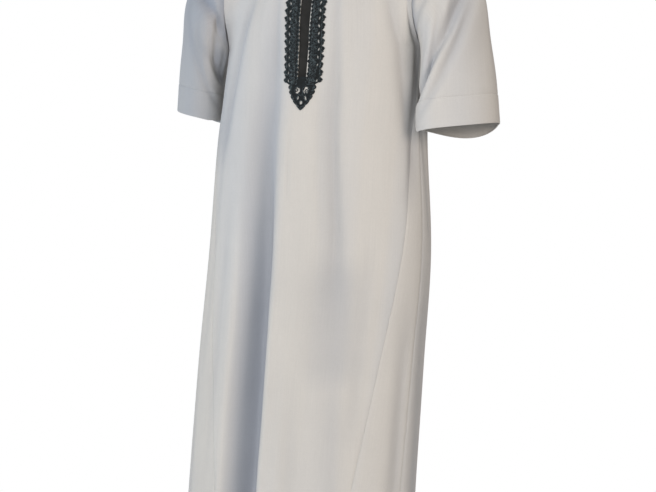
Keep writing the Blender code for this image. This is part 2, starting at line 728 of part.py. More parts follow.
def slot_outline(centre, length, width, slant):
    """A slot with pointed ends, leaning from upright by the slant."""
    turn = math.radians(slant)
    points = []
    for along, aside in ((-0.5, -0.2), (-0.2, 0.5), (0.5, 0.2), (0.2, -0.5)):
        a = along * length
        b = aside * width
        across = centre[0] + b * math.cos(turn) - a * math.sin(turn)
        points.append((across, centre[1] + b * math.sin(turn) + a * math.cos(turn)))
    return points


def oval_outline(centre, length, width, slant):
    """A small oval, leaning from upright by the slant."""
    turn = math.radians(slant)
    points = []
    for step in range(OVAL_STEPS):
        angle = 2 * math.pi * step / OVAL_STEPS
        a = length / 2 * math.cos(angle)
        b = width / 2 * math.sin(angle)
        across = centre[0] + b * math.cos(turn) - a * math.sin(turn)
        points.append((across, centre[1] + b * math.sin(turn) + a * math.cos(turn)))
    return points


def finial_half(share):
    """Half the pointed piece's width at a share of its height from its upper edge."""
    return FINIAL_HALF_WIDTH * (1.0 - share**FINIAL_ROUNDNESS)


def finial_outline():
    """The pointed lace piece: a tongue between the bands, a full scalloped triangle, and its cut openings."""
    top = LACE_END - SEAM_GAP
    tongue = LACE_INNER_END - SEAM_GAP
    right = [(tongue, FINIAL_TONGUE_TOP), (tongue, top), (FINIAL_HALF_WIDTH, top)]
    for scallop in range(FINIAL_SCALLOPS):
        for along, swell in ((0.35, 1.0), (0.70, 0.9), (1.0, 0.0)):
            share = (scallop + along) / FINIAL_SCALLOPS
            across = finial_half(share) + FINIAL_SWELL * swell * (1.0 - share)
            right.append((across, mix(top, FINIAL_TIP, share)))
    left = [(-across, height) for across, height in reversed(right[:-1])]
    openings = [
        oval_outline((hole.across, mix(top, FINIAL_TIP, hole.down)), hole.length, hole.width, hole.slant)
        for hole in FINIAL_OPENINGS
    ]
    return right + left, openings


def add_lace(collection, name, outline, openings, mirrored=False):
    """Fills a flat outline with its openings, gives it thickness and lays it on the front's points."""
    curve = bpy.data.curves.new(name + "_outline", "CURVE")
    curve.dimensions = "2D"
    curve.fill_mode = "BOTH"
    curve.extrude = LACE_THICKNESS / 2
    for points in (outline, *openings):
        spline = curve.splines.new("POLY")
        spline.use_cyclic_u = True
        spline.points.add(len(points) - 1)
        for place, (across, height) in zip(spline.points, points):
            place.co = (across, height, 0.0, 1.0)
    flat = bpy.data.objects.new(name + "_outline", curve)
    collection.objects.link(flat)
    seen = flat.evaluated_get(bpy.context.evaluated_depsgraph_get())
    data = bpy.data.meshes.new_from_object(seen)
    data.name = name
    bpy.data.objects.remove(flat, do_unlink=True)
    mesh = bmesh.new()
    mesh.from_mesh(data)
    bmesh.ops.remove_doubles(mesh, verts=mesh.verts, dist=0.00001)
    for axis, cell in ((0, LACE_CELL_ACROSS), (1, LACE_CELL_DOWN)):
        places = [vertex.co[axis] for vertex in mesh.verts]
        low, high = min(places), max(places)
        direction = Vector((1.0 - axis, axis, 0.0))
        cells = max(1, round((high - low) / cell))
        for step in range(1, cells):
            place = direction * mix(low, high, step / cells)
            everything = [*mesh.verts, *mesh.edges, *mesh.faces]
            bmesh.ops.bisect_plane(mesh, geom=everything, dist=0.00002, plane_co=place, plane_no=direction)
    for vertex in mesh.verts:
        offset = -vertex.co.x if mirrored else vertex.co.x
        point, normal = front_at(offset, vertex.co.y)
        vertex.co = point + normal * (SEAM_GAP + LACE_THICKNESS / 2 + vertex.co.z)
    if mirrored:
        bmesh.ops.reverse_faces(mesh, faces=mesh.faces)
    mesh.to_mesh(data)
    mesh.free()
    add_object(collection, name, "lace", data)


def main():
    """Builds the robe."""
    clear_scene()
    collection = bpy.data.collections.new("jalabiya")
    bpy.context.scene.collection.children.link(collection)
    grids = {name: sleeve_grid(sleeve) for name, sleeve in SLEEVES.items()}
    joints = {}
    for name, sleeve in SLEEVES.items():
        joints[sleeve.side] = armhole_joints(sleeve.side, grids[name][1][0])
    add_body(collection, joints)
    add_gores(collection, joints)
    add_sleeves(collection, grids, joints)
    add_neckband(collection)
    add_strip(collection)
    for name, reach in BAND_REACHES.items():
        band, slots = lace_band_outline(reach)
        add_lace(collection, name, band, slots, mirrored=name == "lace_band_right")
    finial, openings = finial_outline()
    add_lace(collection, "lace_finial", finial, openings)


main()
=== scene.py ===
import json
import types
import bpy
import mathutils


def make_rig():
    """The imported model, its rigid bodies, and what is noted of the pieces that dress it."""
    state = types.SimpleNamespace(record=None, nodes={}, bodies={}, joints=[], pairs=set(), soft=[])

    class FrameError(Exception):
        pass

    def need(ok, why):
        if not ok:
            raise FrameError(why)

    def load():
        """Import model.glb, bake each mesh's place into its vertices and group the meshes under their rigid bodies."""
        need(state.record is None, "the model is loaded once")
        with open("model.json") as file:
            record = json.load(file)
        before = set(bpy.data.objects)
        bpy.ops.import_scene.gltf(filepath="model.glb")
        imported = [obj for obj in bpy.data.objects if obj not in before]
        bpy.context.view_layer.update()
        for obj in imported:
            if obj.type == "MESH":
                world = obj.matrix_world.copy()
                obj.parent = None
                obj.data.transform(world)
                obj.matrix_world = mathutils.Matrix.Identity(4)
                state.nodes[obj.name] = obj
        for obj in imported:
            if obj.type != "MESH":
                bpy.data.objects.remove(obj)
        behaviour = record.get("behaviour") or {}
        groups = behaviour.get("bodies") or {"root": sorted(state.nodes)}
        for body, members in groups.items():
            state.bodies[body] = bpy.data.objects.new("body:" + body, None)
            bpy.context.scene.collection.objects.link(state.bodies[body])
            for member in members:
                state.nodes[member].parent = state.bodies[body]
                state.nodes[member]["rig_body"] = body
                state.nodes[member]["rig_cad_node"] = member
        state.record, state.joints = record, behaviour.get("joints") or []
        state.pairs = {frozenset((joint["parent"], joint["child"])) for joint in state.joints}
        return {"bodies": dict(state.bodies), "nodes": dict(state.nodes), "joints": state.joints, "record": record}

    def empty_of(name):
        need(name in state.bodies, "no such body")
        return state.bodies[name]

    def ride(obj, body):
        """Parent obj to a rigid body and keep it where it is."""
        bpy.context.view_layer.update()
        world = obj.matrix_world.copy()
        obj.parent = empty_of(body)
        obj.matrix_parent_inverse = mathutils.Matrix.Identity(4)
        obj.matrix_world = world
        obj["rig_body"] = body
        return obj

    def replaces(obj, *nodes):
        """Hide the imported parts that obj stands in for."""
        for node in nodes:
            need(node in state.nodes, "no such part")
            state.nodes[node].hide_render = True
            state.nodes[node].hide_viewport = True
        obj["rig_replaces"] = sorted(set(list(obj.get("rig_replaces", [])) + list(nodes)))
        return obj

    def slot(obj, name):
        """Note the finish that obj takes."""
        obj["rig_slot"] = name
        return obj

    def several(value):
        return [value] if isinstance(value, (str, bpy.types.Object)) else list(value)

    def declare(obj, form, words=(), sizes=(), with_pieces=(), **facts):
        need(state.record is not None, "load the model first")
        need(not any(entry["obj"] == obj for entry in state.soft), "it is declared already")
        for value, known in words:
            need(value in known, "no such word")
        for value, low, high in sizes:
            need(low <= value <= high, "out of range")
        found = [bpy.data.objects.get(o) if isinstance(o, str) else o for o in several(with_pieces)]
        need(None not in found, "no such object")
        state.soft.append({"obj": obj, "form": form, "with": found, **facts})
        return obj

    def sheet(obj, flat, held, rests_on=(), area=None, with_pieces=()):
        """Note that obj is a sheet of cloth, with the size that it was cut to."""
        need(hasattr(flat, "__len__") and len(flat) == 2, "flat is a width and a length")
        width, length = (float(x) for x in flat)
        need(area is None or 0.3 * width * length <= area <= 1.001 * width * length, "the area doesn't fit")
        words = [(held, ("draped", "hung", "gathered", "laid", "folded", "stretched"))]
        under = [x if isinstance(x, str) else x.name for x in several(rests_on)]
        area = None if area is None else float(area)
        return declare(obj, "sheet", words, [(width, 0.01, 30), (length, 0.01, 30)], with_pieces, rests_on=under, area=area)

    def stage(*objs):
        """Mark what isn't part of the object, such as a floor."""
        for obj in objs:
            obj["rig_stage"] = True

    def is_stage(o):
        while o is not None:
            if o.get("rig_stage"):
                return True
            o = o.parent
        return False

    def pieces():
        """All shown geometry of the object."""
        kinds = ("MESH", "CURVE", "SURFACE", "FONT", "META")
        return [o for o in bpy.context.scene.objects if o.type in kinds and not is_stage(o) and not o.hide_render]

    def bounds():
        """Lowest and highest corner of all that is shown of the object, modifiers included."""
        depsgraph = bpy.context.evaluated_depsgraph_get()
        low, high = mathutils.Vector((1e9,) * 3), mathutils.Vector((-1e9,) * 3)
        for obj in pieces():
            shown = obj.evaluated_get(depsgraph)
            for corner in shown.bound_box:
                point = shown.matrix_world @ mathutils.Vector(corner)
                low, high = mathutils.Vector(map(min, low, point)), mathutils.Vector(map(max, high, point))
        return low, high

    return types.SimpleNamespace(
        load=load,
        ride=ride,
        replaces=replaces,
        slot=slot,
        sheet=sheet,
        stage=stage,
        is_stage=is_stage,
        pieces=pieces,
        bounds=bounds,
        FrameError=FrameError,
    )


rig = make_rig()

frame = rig.load()

import copy
import json
import math
from collections import namedtuple

import bmesh
import bpy
import numpy as np
from mathutils import Vector

# A jalabiya: a long, loose robe with wide elbow-length sleeves, side gores and a lace-edged neck slit.
# Lengths are metres and angles degrees. +Z is up, the front faces -Y and the wearer's left is +X. An angle
# round the body is 0 at the front middle and grows towards the wearer's left, so the back is 180.

CAD_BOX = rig.bounds()

# Driving dimensions
HEM = -1.420
UNDERARM = -0.250
SHELL = 0.0012
SEAM_GAP = 0.0003
NECK_SIDE = (0.083, 0.005, 0.000)
NECK_FRONT = (0.000, -0.080, -0.090)
NECK_BACK = (0.000, 0.065, -0.022)
SHOULDER_TIP = (0.222, 0.012, -0.052)
NECK_SHARE = 0.42
ARMHOLE_BULGE = 0.055
ARMHOLE_PULL = 0.012
ARMHOLE_EASE = 0.9
CHEST_CURVE = 2.2
NECK_CURVE = 1.4
NECKBAND_HEIGHT = 0.020
NECKBAND_LEAN = 0.06
NECKBAND_CLOTH = 0.0022
NECKBAND_STITCH_ROW = 6
SLEEVE_HEM_DEPTH = 0.062
BODY_HEM_DEPTH = 0.028
SLEEVE_TOP_SLOPE = 16.0
SLEEVE_UNDER_SLOPE = 65.0
SLEEVE_SPREAD = 0.35
SLEEVE_FLARE = 0.08
SLEEVE_START_PULL = 0.34
SLEEVE_START_PULL_TOP = 0.41
SLEEVE_END_PULL = 0.36
SLEEVE_END_PULL_TOP = 0.52
# The sleeve's outer side is flattened by this many metres, most at this share of its length. The reach along
# the sleeve is a share too, and the one round it is an angle.
SLEEVE_FLAT = 0.0080
SLEEVE_FLAT_LEVEL = 0.63
SLEEVE_FLAT_REACH = 0.17
SLEEVE_FLAT_ANGLE = 50.0
PANEL_INSET = 0.0007
FADE_LENGTH = 0.3

# How far the cloth is pressed in along sewing, and how far to the side that reaches
Dent = namedtuple("Dent", "depth reach")
SEAM_DENT = Dent(0.0006, 0.0024)
SEAM_PUCKER = Dent(0.0003, 0.009)
ARMHOLE_DENT = Dent(0.0010, 0.0024)
ARMHOLE_PUCKER = Dent(0.0006, 0.010)
HEM_LINE_DENT = Dent(0.0007, 0.0016)
HEM_EDGE_DENT = Dent(0.0006, 0.0012)
# A turned hem stands out by its fold and is thicker, and both begin over this distance
HEM_FOLD = 0.0005
HEM_EXTRA = 0.0008
HEM_EASE = 0.003

# The neck slit, the charcoal strip behind it and the lace on both sides of it
SLIT_HALF_TOP = 0.0122
SLIT_HALF_END = 0.0093
SLIT_SHIFT = -0.0028
SLIT_END = -0.318
STRIP_HALF_WIDTH = 0.0185
STRIP_TOP = -0.094
STRIP_BOTTOM = -0.336
STRIP_DEPTH = 0.0022
LACE_THICKNESS = 0.0009
LACE_LIFT = 0.0004
LACE_REPEATS = 16
LACE_SCALLOPS = 28
LACE_END = -0.3285
LACE_INNER_TOP = 0.0148
LACE_INNER_END = 0.0119
LACE_NOTCH = 0.0385
LACE_TOOTH = 0.0442
LACE_TOP_INNER = -0.0925
LACE_TOP_OUTER = -0.0800
LACE_PITCH = (LACE_END - LACE_TOP_OUTER) / LACE_REPEATS
LACE_FACE = LACE_LIFT + LACE_THICKNESS
LACE_CELLS = (0.0032, 0.0040)
LOWEST_PICOT = LACE_END + 0.007
LOWEST_HOOK = LACE_END + 0.016
SLOT_ACROSS = 0.0315
SLOT_LENGTH = 0.0086
SLOT_WIDTH = 0.0036
SLOT_SLANT = 22.0
CURL_COLUMNS = (0.0205, 0.0262)
CURLS = 30
CURL_RADII = (0.0028, 0.0042)
CORD_RADIUS = 0.0010
CORD_FLATNESS = 0.8
FINIAL_HALF_WIDTH = 0.0262
FINIAL_SHIFT = 0.0022
FINIAL_TOP = LACE_END - SEAM_GAP
FINIAL_TIP = -0.380
FINIAL_TONGUE_TOP = -0.3130
FINIAL_SCALLOPS = 5
FINIAL_SWELL = 0.0042
FINIAL_ROUNDNESS = 2.1

# How much farther out a band reaches at its top and its end, how far its inner scallops reach at both, and
# how far out they start
Reach = namedtuple("Reach", "top end scallop_top scallop_end base")
BAND_REACHES = {
    "left": Reach(0.0, 0.0, 0.0038, 0.0036, 0.0012),
    "right": Reach(0.0038, -0.0036, 0.0026, 0.0036, -0.0006),
}

# One picot of the lace bands: how far along its repeat and how far out, as shares
Picot = namedtuple("Picot", "along out")
PICOT = (
    Picot(0.04, 0.0), Picot(0.16, 0.42), Picot(0.28, 0.58), Picot(0.40, 1.0), Picot(0.49, 0.88),
    Picot(0.58, 0.50), Picot(0.70, 0.62), Picot(0.80, 0.22), Picot(0.93, 0.0),
)

# The cut openings of the pointed lace piece, the two with scrolls first. Down is a share of its height.
SCROLL_OPENINGS = 2
Opening = namedtuple("Opening", "across down length width slant")
FINIAL_OPENINGS = (
    Opening(-0.0092, 0.22, 0.0130, 0.0100, 10.0),
    Opening(0.0088, 0.22, 0.0140, 0.0112, -10.0),
    Opening(-0.0072, 0.52, 0.0075, 0.0030, -14.0),
    Opening(0.0088, 0.52, 0.0095, 0.0030, 22.0),
    Opening(0.0, 0.70, 0.0070, 0.0056, 0.0),
)

Section = namedtuple("Section", "height half_width front_depth back_depth middle")
SECTIONS = (
    Section(-0.250, 0.213, 0.128, 0.120, -0.002),
    Section(-0.350, 0.221, 0.131, 0.122, -0.008),
    Section(-0.450, 0.228, 0.134, 0.125, -0.015),
    Section(-0.670, 0.242, 0.138, 0.134, -0.021),
    Section(-0.900, 0.248, 0.138, 0.141, -0.041),
    Section(-1.175, 0.2525, 0.139, 0.147, -0.0625),
    Section(-1.420, 0.257, 0.141, 0.152, -0.078),
)
Seam = namedtuple("Seam", "height front_angle rear_angle")
SEAMS = (
    Seam(-0.250, 82.3, 83.7),
    Seam(-0.450, 70.0, 80.0),
    Seam(-0.670, 58.5, 77.0),
    Seam(-0.900, 47.5, 73.7),
    Seam(-1.175, 35.5, 70.0),
    Seam(-1.420, 25.0, 67.0),
)
FRONT_RUN = SECTIONS[0].half_width * math.radians(SEAMS[0].front_angle)

# A fold runs through three (level, angle) points. The level is a height on the body, and on a sleeve the
# share of its length from the armhole. Before and after are its reach towards smaller and larger angles. A
# flat fold has a level floor and a steep wall on its after side. Depth is inwards, so a ridge is below zero.
Fold = namedtuple("Fold", "start middle end depth before after flat", defaults=(False,))
# How uneven folds and creases are, as shares of the waver in their place, their width and their depth
FOLD_WAVER = 0.35
CREASE_WAVER = 1.0
WAVER_PLACE = 0.16
WAVER_WIDTH = 0.22
WAVER_DEPTH = 0.28
# A fold begins and ends over these shares of its way
FOLD_FADE_IN = 0.30
FOLD_FADE_OUT = 0.25
BODY_FOLDS = (
    Fold((-0.10, -20), (-0.62, -18.6), (-1.60, -19), 0.016, 8.0, 6.6),
    Fold((-0.30, -23), (-0.90, -20.4), (-2.20, -19), 0.038, 9.0, 7.0, True),
    Fold((-0.50, -36), (-0.90, -33), (-1.60, -32), -0.006, 6.0, 6.0),
    Fold((-0.22, 15), (-0.55, 18), (-0.85, 21), 0.005, 5.0, 5.0),
    Fold((-0.82, 22), (-1.10, 26), (-1.60, 31), 0.0022, 7.0, 6.0),
    Fold((-0.08, -41), (-0.30, -51), (-0.52, -58), 0.005, 4.5, 5.0),
    Fold((-0.06, 54), (-0.27, 59), (-0.50, 68), 0.004, 6.5, 8.0),
    Fold((-0.66, 20), (-0.80, 22), (-0.96, 24), 0.006, 12.0, 12.0),
    Fold((-0.62, 86), (-1.00, 90), (-1.60, 94), 0.006, 9.0, 9.0),
    Fold((-0.70, -92), (-1.05, -88), (-1.60, -84), 0.008, 9.0, 9.0),
    Fold((-0.34, 128), (-0.85, 126), (-1.60, 122), 0.016, 9.0, 9.0),
    Fold((-0.45, 150), (-0.95, 148), (-1.60, 146), -0.007, 10.0, 10.0),
    Fold((-0.24, 176), (-0.80, 172), (-1.60, 168), 0.010, 8.0, 9.0),
    Fold((-0.30, 222), (-0.85, 226), (-1.60, 231), 0.018, 9.0, 9.0, True),
    Fold((-0.10, 118), (-0.24, 112), (-0.42, 108), 0.006, 7.0, 7.0),
    Fold((-0.10, 243), (-0.24, 249), (-0.42, 254), 0.006, 7.0, 7.0),
)
# The finer creases of the looks, on the same terms
BODY_CREASES = (
    Fold((-0.04, -21), (-0.34, -16), (-0.64, -12.5), 0.0034, 3.4, 2.2),
    Fold((-0.44, -12.5), (-0.80, -11), (-1.60, -11.5), -0.0040, 2.2, 4.5),
    Fold((-0.46, -23), (-0.86, -21.5), (-1.60, -21.5), 0.0030, 3.4, 2.2),
    Fold((-0.12, -41), (-0.28, -50), (-0.44, -57), 0.0025, 2.2, 2.0),
    Fold((-0.30, -54), (-0.56, -58), (-0.96, -60), 0.0020, 4.0, 3.5),
    Fold((-0.06, 54), (-0.26, 58), (-0.44, 65), 0.0008, 2.2, 2.4),
    Fold((-0.02, 77), (-0.25, 75), (-0.62, 64), 0.0065, 4.6, 9.0),
    Fold((-0.38, -4.5), (-0.47, -5.0), (-0.58, -5.5), 0.0009, 1.1, 1.0),
    Fold((-0.30, 9), (-0.46, 11), (-0.70, 13), 0.0012, 3.0, 3.0),
    Fold((0.06, 15.5), (-0.30, 17.8), (-0.78, 21.5), 0.0032, 2.4, 2.6),
    Fold((-0.86, 23), (-1.10, 26), (-1.50, 28), 0.0010, 3.2, 3.0),
    Fold((-0.90, 4), (-1.15, 5), (-1.55, 3), 0.0016, 3.5, 3.5),
    Fold((-0.60, 38), (-0.84, 36), (-1.10, 33), 0.0018, 4.0, 4.0),
    Fold((-0.50, -43), (-0.78, -44), (-1.20, -46), 0.0020, 4.0, 4.0),
    Fold((-0.70, 68), (-1.00, 65), (-1.75, 62), 0.0045, 6.0, 5.0),
    Fold((-0.26, 79), (-0.42, 84), (-0.70, 92), 0.0034, 4.0, 3.6),
    Fold((-0.26, -79), (-0.44, -86), (-0.74, -94), 0.0034, 4.0, 3.6),
    Fold((-0.86, -70), (-1.10, -68), (-1.55, -66), 0.0030, 4.4, 4.0),
    Fold((-0.24, 131), (-0.50, 129), (-0.86, 127), 0.0032, 3.6, 3.6),
    Fold((-0.60, 118), (-0.95, 114), (-1.55, 110), 0.0026, 4.0, 4.0),
    Fold((-0.18, 160), (-0.46, 163), (-0.80, 164), 0.0024, 3.4, 3.4),
    Fold((-0.70, 158), (-1.05, 157), (-1.55, 156), 0.0028, 3.6, 3.6),
    Fold((-0.30, 190), (-0.60, 193), (-1.00, 196), 0.0024, 3.6, 3.6),
    Fold((-0.80, 203), (-1.10, 206), (-1.55, 210), 0.0030, 4.0, 4.0),
    Fold((-0.24, 222), (-0.44, 224), (-0.70, 226), 0.0034, 3.4, 3.0),
    Fold((-0.60, 243), (-0.95, 247), (-1.55, 250), 0.0028, 4.0, 4.0),
    Fold((-0.10, 112), (-0.20, 108), (-0.32, 104), 0.0030, 3.0, 3.0),
    Fold((-0.10, 248), (-0.20, 252), (-0.32, 256), 0.0030, 3.0, 3.0),
)

# A cross fold runs round the sleeve: its level is the angle, and its angle is a hundredth of the length
RIGHT_CROSS_FOLDS = (
    Fold((185, -5.0), (101.5, 11.9), (20, 24.0), 0.010, 4.5, 5.5),
    Fold((170, 24.0), (128, 40.0), (80, 46.0), 0.0022, 6.0, 7.0),
)
LEFT_CROSS_FOLDS = (
    Fold((185, -3.0), (112, 9.0), (60, 12.0), 0.004, 3.0, 4.0),
)
Sleeve = namedtuple(
    "Sleeve", "side out back height long_half short_half turn rise lean droop sag folds creases cross_folds"
)
UNDERARM_CREASE = Fold((0.05, 170), (0.24, 176), (0.50, 182), 0.0030, 10.0, 10.0)
LEFT_SLEEVE_FOLDS = (
    Fold((0.15, -10), (0.50, 83), (0.92, 238), 0.014, 15.0, 28.0),
    Fold((0.20, -2), (0.60, 63), (0.95, 140), 0.005, 13.0, 13.0),
    Fold((0.12, -50), (0.45, -88), (0.84, -132), 0.009, 18.0, 20.0),
)
LEFT_SLEEVE_CREASES = (
    Fold((0.18, 68), (0.46, 100), (0.80, 146), 0.0030, 9.0, 6.0),
    Fold((0.14, 44), (0.40, 72), (0.70, 110), -0.0022, 8.0, 8.0),
    Fold((0.10, 4), (0.34, 30), (0.66, 70), 0.0008, 8.0, 8.0),
    Fold((0.14, 88), (0.34, 116), (0.60, 148), 0.0008, 8.0, 7.0),
    Fold((0.10, -30), (0.36, -58), (0.66, -96), 0.0026, 9.0, 8.0),
    Fold((0.14, -80), (0.40, -112), (0.70, -146), 0.0030, 9.0, 8.0),
    UNDERARM_CREASE,
)
RIGHT_SLEEVE_FOLDS = (
    Fold((-0.10, 100), (0.14, 130), (0.60, 165), 0.009, 22.0, 25.0),
    Fold((0.22, 28), (0.58, 91), (0.92, 165), 0.003, 16.0, 16.0),
    Fold((0.12, -50), (0.45, -84), (0.84, -126), 0.009, 18.0, 20.0),
)
RIGHT_SLEEVE_CREASES = (
    Fold((0.10, 62), (0.34, 86), (0.66, 112), 0.0010, 9.0, 7.0),
    Fold((0.08, 92), (0.28, 118), (0.52, 146), 0.0010, 8.0, 7.0),
    Fold((0.20, 30), (0.46, 44), (0.76, 60), 0.0010, 9.0, 9.0),
    Fold((0.10, -30), (0.36, -56), (0.66, -92), 0.0026, 9.0, 8.0),
    Fold((0.14, -78), (0.40, -110), (0.70, -142), 0.0030, 9.0, 8.0),
    UNDERARM_CREASE,
)
SLEEVES = {
    "left": Sleeve(
        1, 0.286, -0.021, -0.416, 0.0890, 0.0490, 38.5, 0.015, 0.0115, 0.005, 0.0225,
        LEFT_SLEEVE_FOLDS, LEFT_SLEEVE_CREASES, LEFT_CROSS_FOLDS,
    ),
    "right": Sleeve(
        -1, 0.311, 0.046, -0.386, 0.0900, 0.0480, 56, 0.022, 0.0120, 0.004, 0.010,
        RIGHT_SLEEVE_FOLDS, RIGHT_SLEEVE_CREASES, RIGHT_CROSS_FOLDS,
    ),
}

# The cut of each piece: its flat width and length in metres and its area in square metres
Cut = namedtuple("Cut", "flat area")
FRONT_CUT = Cut((0.50, 1.42), 0.59)
BACK_CUT = Cut((0.78, 1.42), 0.91)
GORE_CUT = Cut((0.16, 1.18), 0.086)
SLEEVE_CUTS = {"left": Cut((0.47, 0.38), 0.137), "right": Cut((0.47, 0.36), 0.131)}
NECKBAND_CUT = Cut((0.42, 0.025), 0.0102)
STRIP_CUT = Cut((0.038, 0.25), 0.0094)
BAND_CUT = Cut((0.036, 0.25), 0.0077)
FINIAL_CUT = Cut((0.052, 0.068), 0.0022)

# Looks: colours are linear, periods in metres
CLOTH_LIGHT = (0.62, 0.607, 0.585)
CLOTH_SHADE = (0.59, 0.579, 0.562)
STREAK_WARM = (1.0, 0.985, 0.955)
STREAK_COOL = (0.955, 0.975, 1.0)
# The cloth's painted shading: darker and cooler as painted shade in folds, creases and next to the armholes, and
# lighter on ridges as a painted highlight.
LEVEL_PAINTED_SHADING = 0.35
PAINTED_SHADE_DEPTH = 0.005
ARMHOLE_SHADE = 0.013
ARMHOLE_SHADE_MIDDLE = 118.0
ARMHOLE_SHADE_REACH = 46.0
DEEP_PAINTED_SHADE_DEPTH = 0.034
RIDGE_PAINTED_HIGHLIGHT = (1.0, 0.99, 0.975)
LEVEL_PAINTED_SHADE = (0.975, 0.97, 0.965)
TROUGH_PAINTED_SHADE = (0.57, 0.605, 0.685)
CORD_COLOURS = ((0.003, 0.004, 0.005), (0.012, 0.018, 0.021), (0.064, 0.083, 0.090))
# The lace ground is black thread, painted darker than the cords as painted shade between them.
GROUND_BLACK_AND_PAINTED_SHADE = ((0.002, 0.003, 0.0035), (0.005, 0.007, 0.008), (0.010, 0.014, 0.016))
SPECK_COLOUR = (1.9, 1.85, 1.8)
LACE_SHEEN = (0.55, 0.70, 0.75)
STRIP_DARK = (0.013, 0.013, 0.012)
STRIP_LIGHT = (0.027, 0.027, 0.025)
THREAD_DARK = (0.40, 0.385, 0.36)
THREAD_LIGHT = (0.50, 0.48, 0.455)
STITCH_LENGTH = 0.0026
STITCH_GAP = 0.0009
STITCH_HALF_WIDTH = 0.00019
STITCH_LIFT = 0.0001
# Four places along a stitch with their widths and heights, and the corners across it, all as shares
STITCH_PLACES = (0.0, 0.22, 0.78, 1.0)
STITCH_WIDTHS = (0.35, 1.0, 1.0, 0.35)
STITCH_HEIGHTS = (0.0, 1.2, 1.2, 0.0)
STITCH_CORNERS = ((1.0, 0.0), (0.55, 0.9), (-0.55, 0.9), (-1.0, 0.0))
WEAVE_PERIOD = 0.00048
RIB_PERIOD = 0.0014

# The studio. The flag is a gel that lets part of the key light through.
FLOOR = -1.50
FLOOR_RADIUS = 1.55
BACKDROP_RADIUS = 9.0
AMBIENT = 0.31
AMBIENT_COLOUR = (0.97, 0.985, 1.0)
LIGHT_AIM = (0.0, 0.0, -0.66)
Light = namedtuple("Light", "name azimuth elevation distance size energy colour")
LIGHTS = (
    Light("key", -10.0, 19.0, 3.4, 1.3, 70.0, (0.99, 0.99, 1.0)),
    Light("right", 61.0, 17.0, 3.4, 1.2, 37.0, (1.0, 0.87, 0.77)),
    Light("left", -82.0, 12.0, 3.4, 1.2, 28.0, (0.70, 0.84, 1.0)),
)
FLAG_AIM = (-0.305, -0.050, -0.240)
FLAG_DISTANCE = 0.16
FLAG_SIZE = (0.22, 0.44)
FLAG_COLOUR = (0.50, 0.56, 0.68)
CAMERA_AZIMUTH = 20.0
CAMERA_ELEVATION = 3.5
CAMERA_DISTANCE = 3.5
CAMERA_LENS = 92.0
CAMERA_AIM = (0.0, 0.0, -0.66)

# How finely each piece is divided
UPPER_ROWS = 44
LOWER_ROWS = 190
HALF_COLUMNS = 62
GORE_COLUMNS = 40
SLEEVE_ROWS = 96
ARMHOLE_STEPS = 64
HEM_LINE_POINTS = 2400
# Shares of the first rows or columns along an edge, and distances of the rows next to a stitch line
PANEL_EDGE = (0.0, 0.006, 0.014, 0.024)
PANEL_TOP = (PANEL_INSET, 0.004, 0.010)
GORE_EDGE = (0.0, 0.01, 0.025, 0.045)
HEM_LINE_STEPS = (-0.0030, -0.0012, 0.0, 0.0012, 0.0030)
NECKBAND_ROWS = (1.0, 0.985, 0.93, 0.84, 0.66, 0.48, 0.30, 0.14, 0.05, 0.0)
# The part of the front that the lace lies on: its first and last offset and height, with the number of steps
BED_OFFSETS = (-0.056, 0.056, 69)
BED_HEIGHTS = (-0.074, -0.392, 160)

FULL_TURN = 2 * math.pi
# The lace's unevenness is drawn from here
RANDOM = np.random.default_rng(7)


def smooth_step(share):
    """Eases from 0 to 1."""
    share = np.clip(share, 0.0, 1.0)
    return share * share * (3.0 - 2.0 * share)


def mix(start, end, share):
    """The value that lies that share of the way from start to end."""
    return start + (end - start) * share


def dent(distance, depth, reach):
    """A soft dent of a depth, deepest at distance 0."""
    return depth * np.exp(-((distance / reach) ** 2))


def unit(vectors):
    """The vectors at length 1."""
    return vectors / np.maximum(np.linalg.norm(vectors, axis=-1, keepdims=True), 1e-12)


def stack(x, y, z):
    """Joins three arrays of coordinates into points."""
    return np.stack(np.broadcast_arrays(x, y, z), axis=-1)


def read_table(table, height):
    """Reads a table of named rows at heights, on smooth curves through its rows: one array a column."""
    rows = np.array(table, float)
    keys = rows[:, 0]
    height = np.clip(height, keys[-1], keys[0])
    upper = np.clip(np.searchsorted(-keys, -height, side="right") - 1, 0, len(keys) - 2)
    lower = upper + 1
    before = np.maximum(upper - 1, 0)
    after = np.minimum(lower + 1, len(keys) - 1)
    span = keys[lower] - keys[upper]
    share = (height - keys[upper]) / span
    values = []
    for data in rows.T[1:]:
        start = data[upper]
        end = data[lower]
        start_slope = (end - data[before]) / (keys[lower] - keys[before]) * span
        end_slope = (data[after] - start) / (keys[after] - keys[upper]) * span
        value = start * (1 + 2 * share) * (1 - share) ** 2 + start_slope * share * (1 - share) ** 2
        value = value + end * share**2 * (3 - 2 * share) + end_slope * share**2 * (share - 1)
        values.append(value)
    return values


def uneven(level, seed):
    """A slow waver between about -1 and 1 along a level, different for each seed."""
    wave = np.sin(level * 7.3 + seed * 1.7) + 0.6 * np.sin(level * 17.1 + seed * 4.1)
    return (wave + 0.35 * np.sin(level * 39.0 + seed * 2.3)) / 1.7


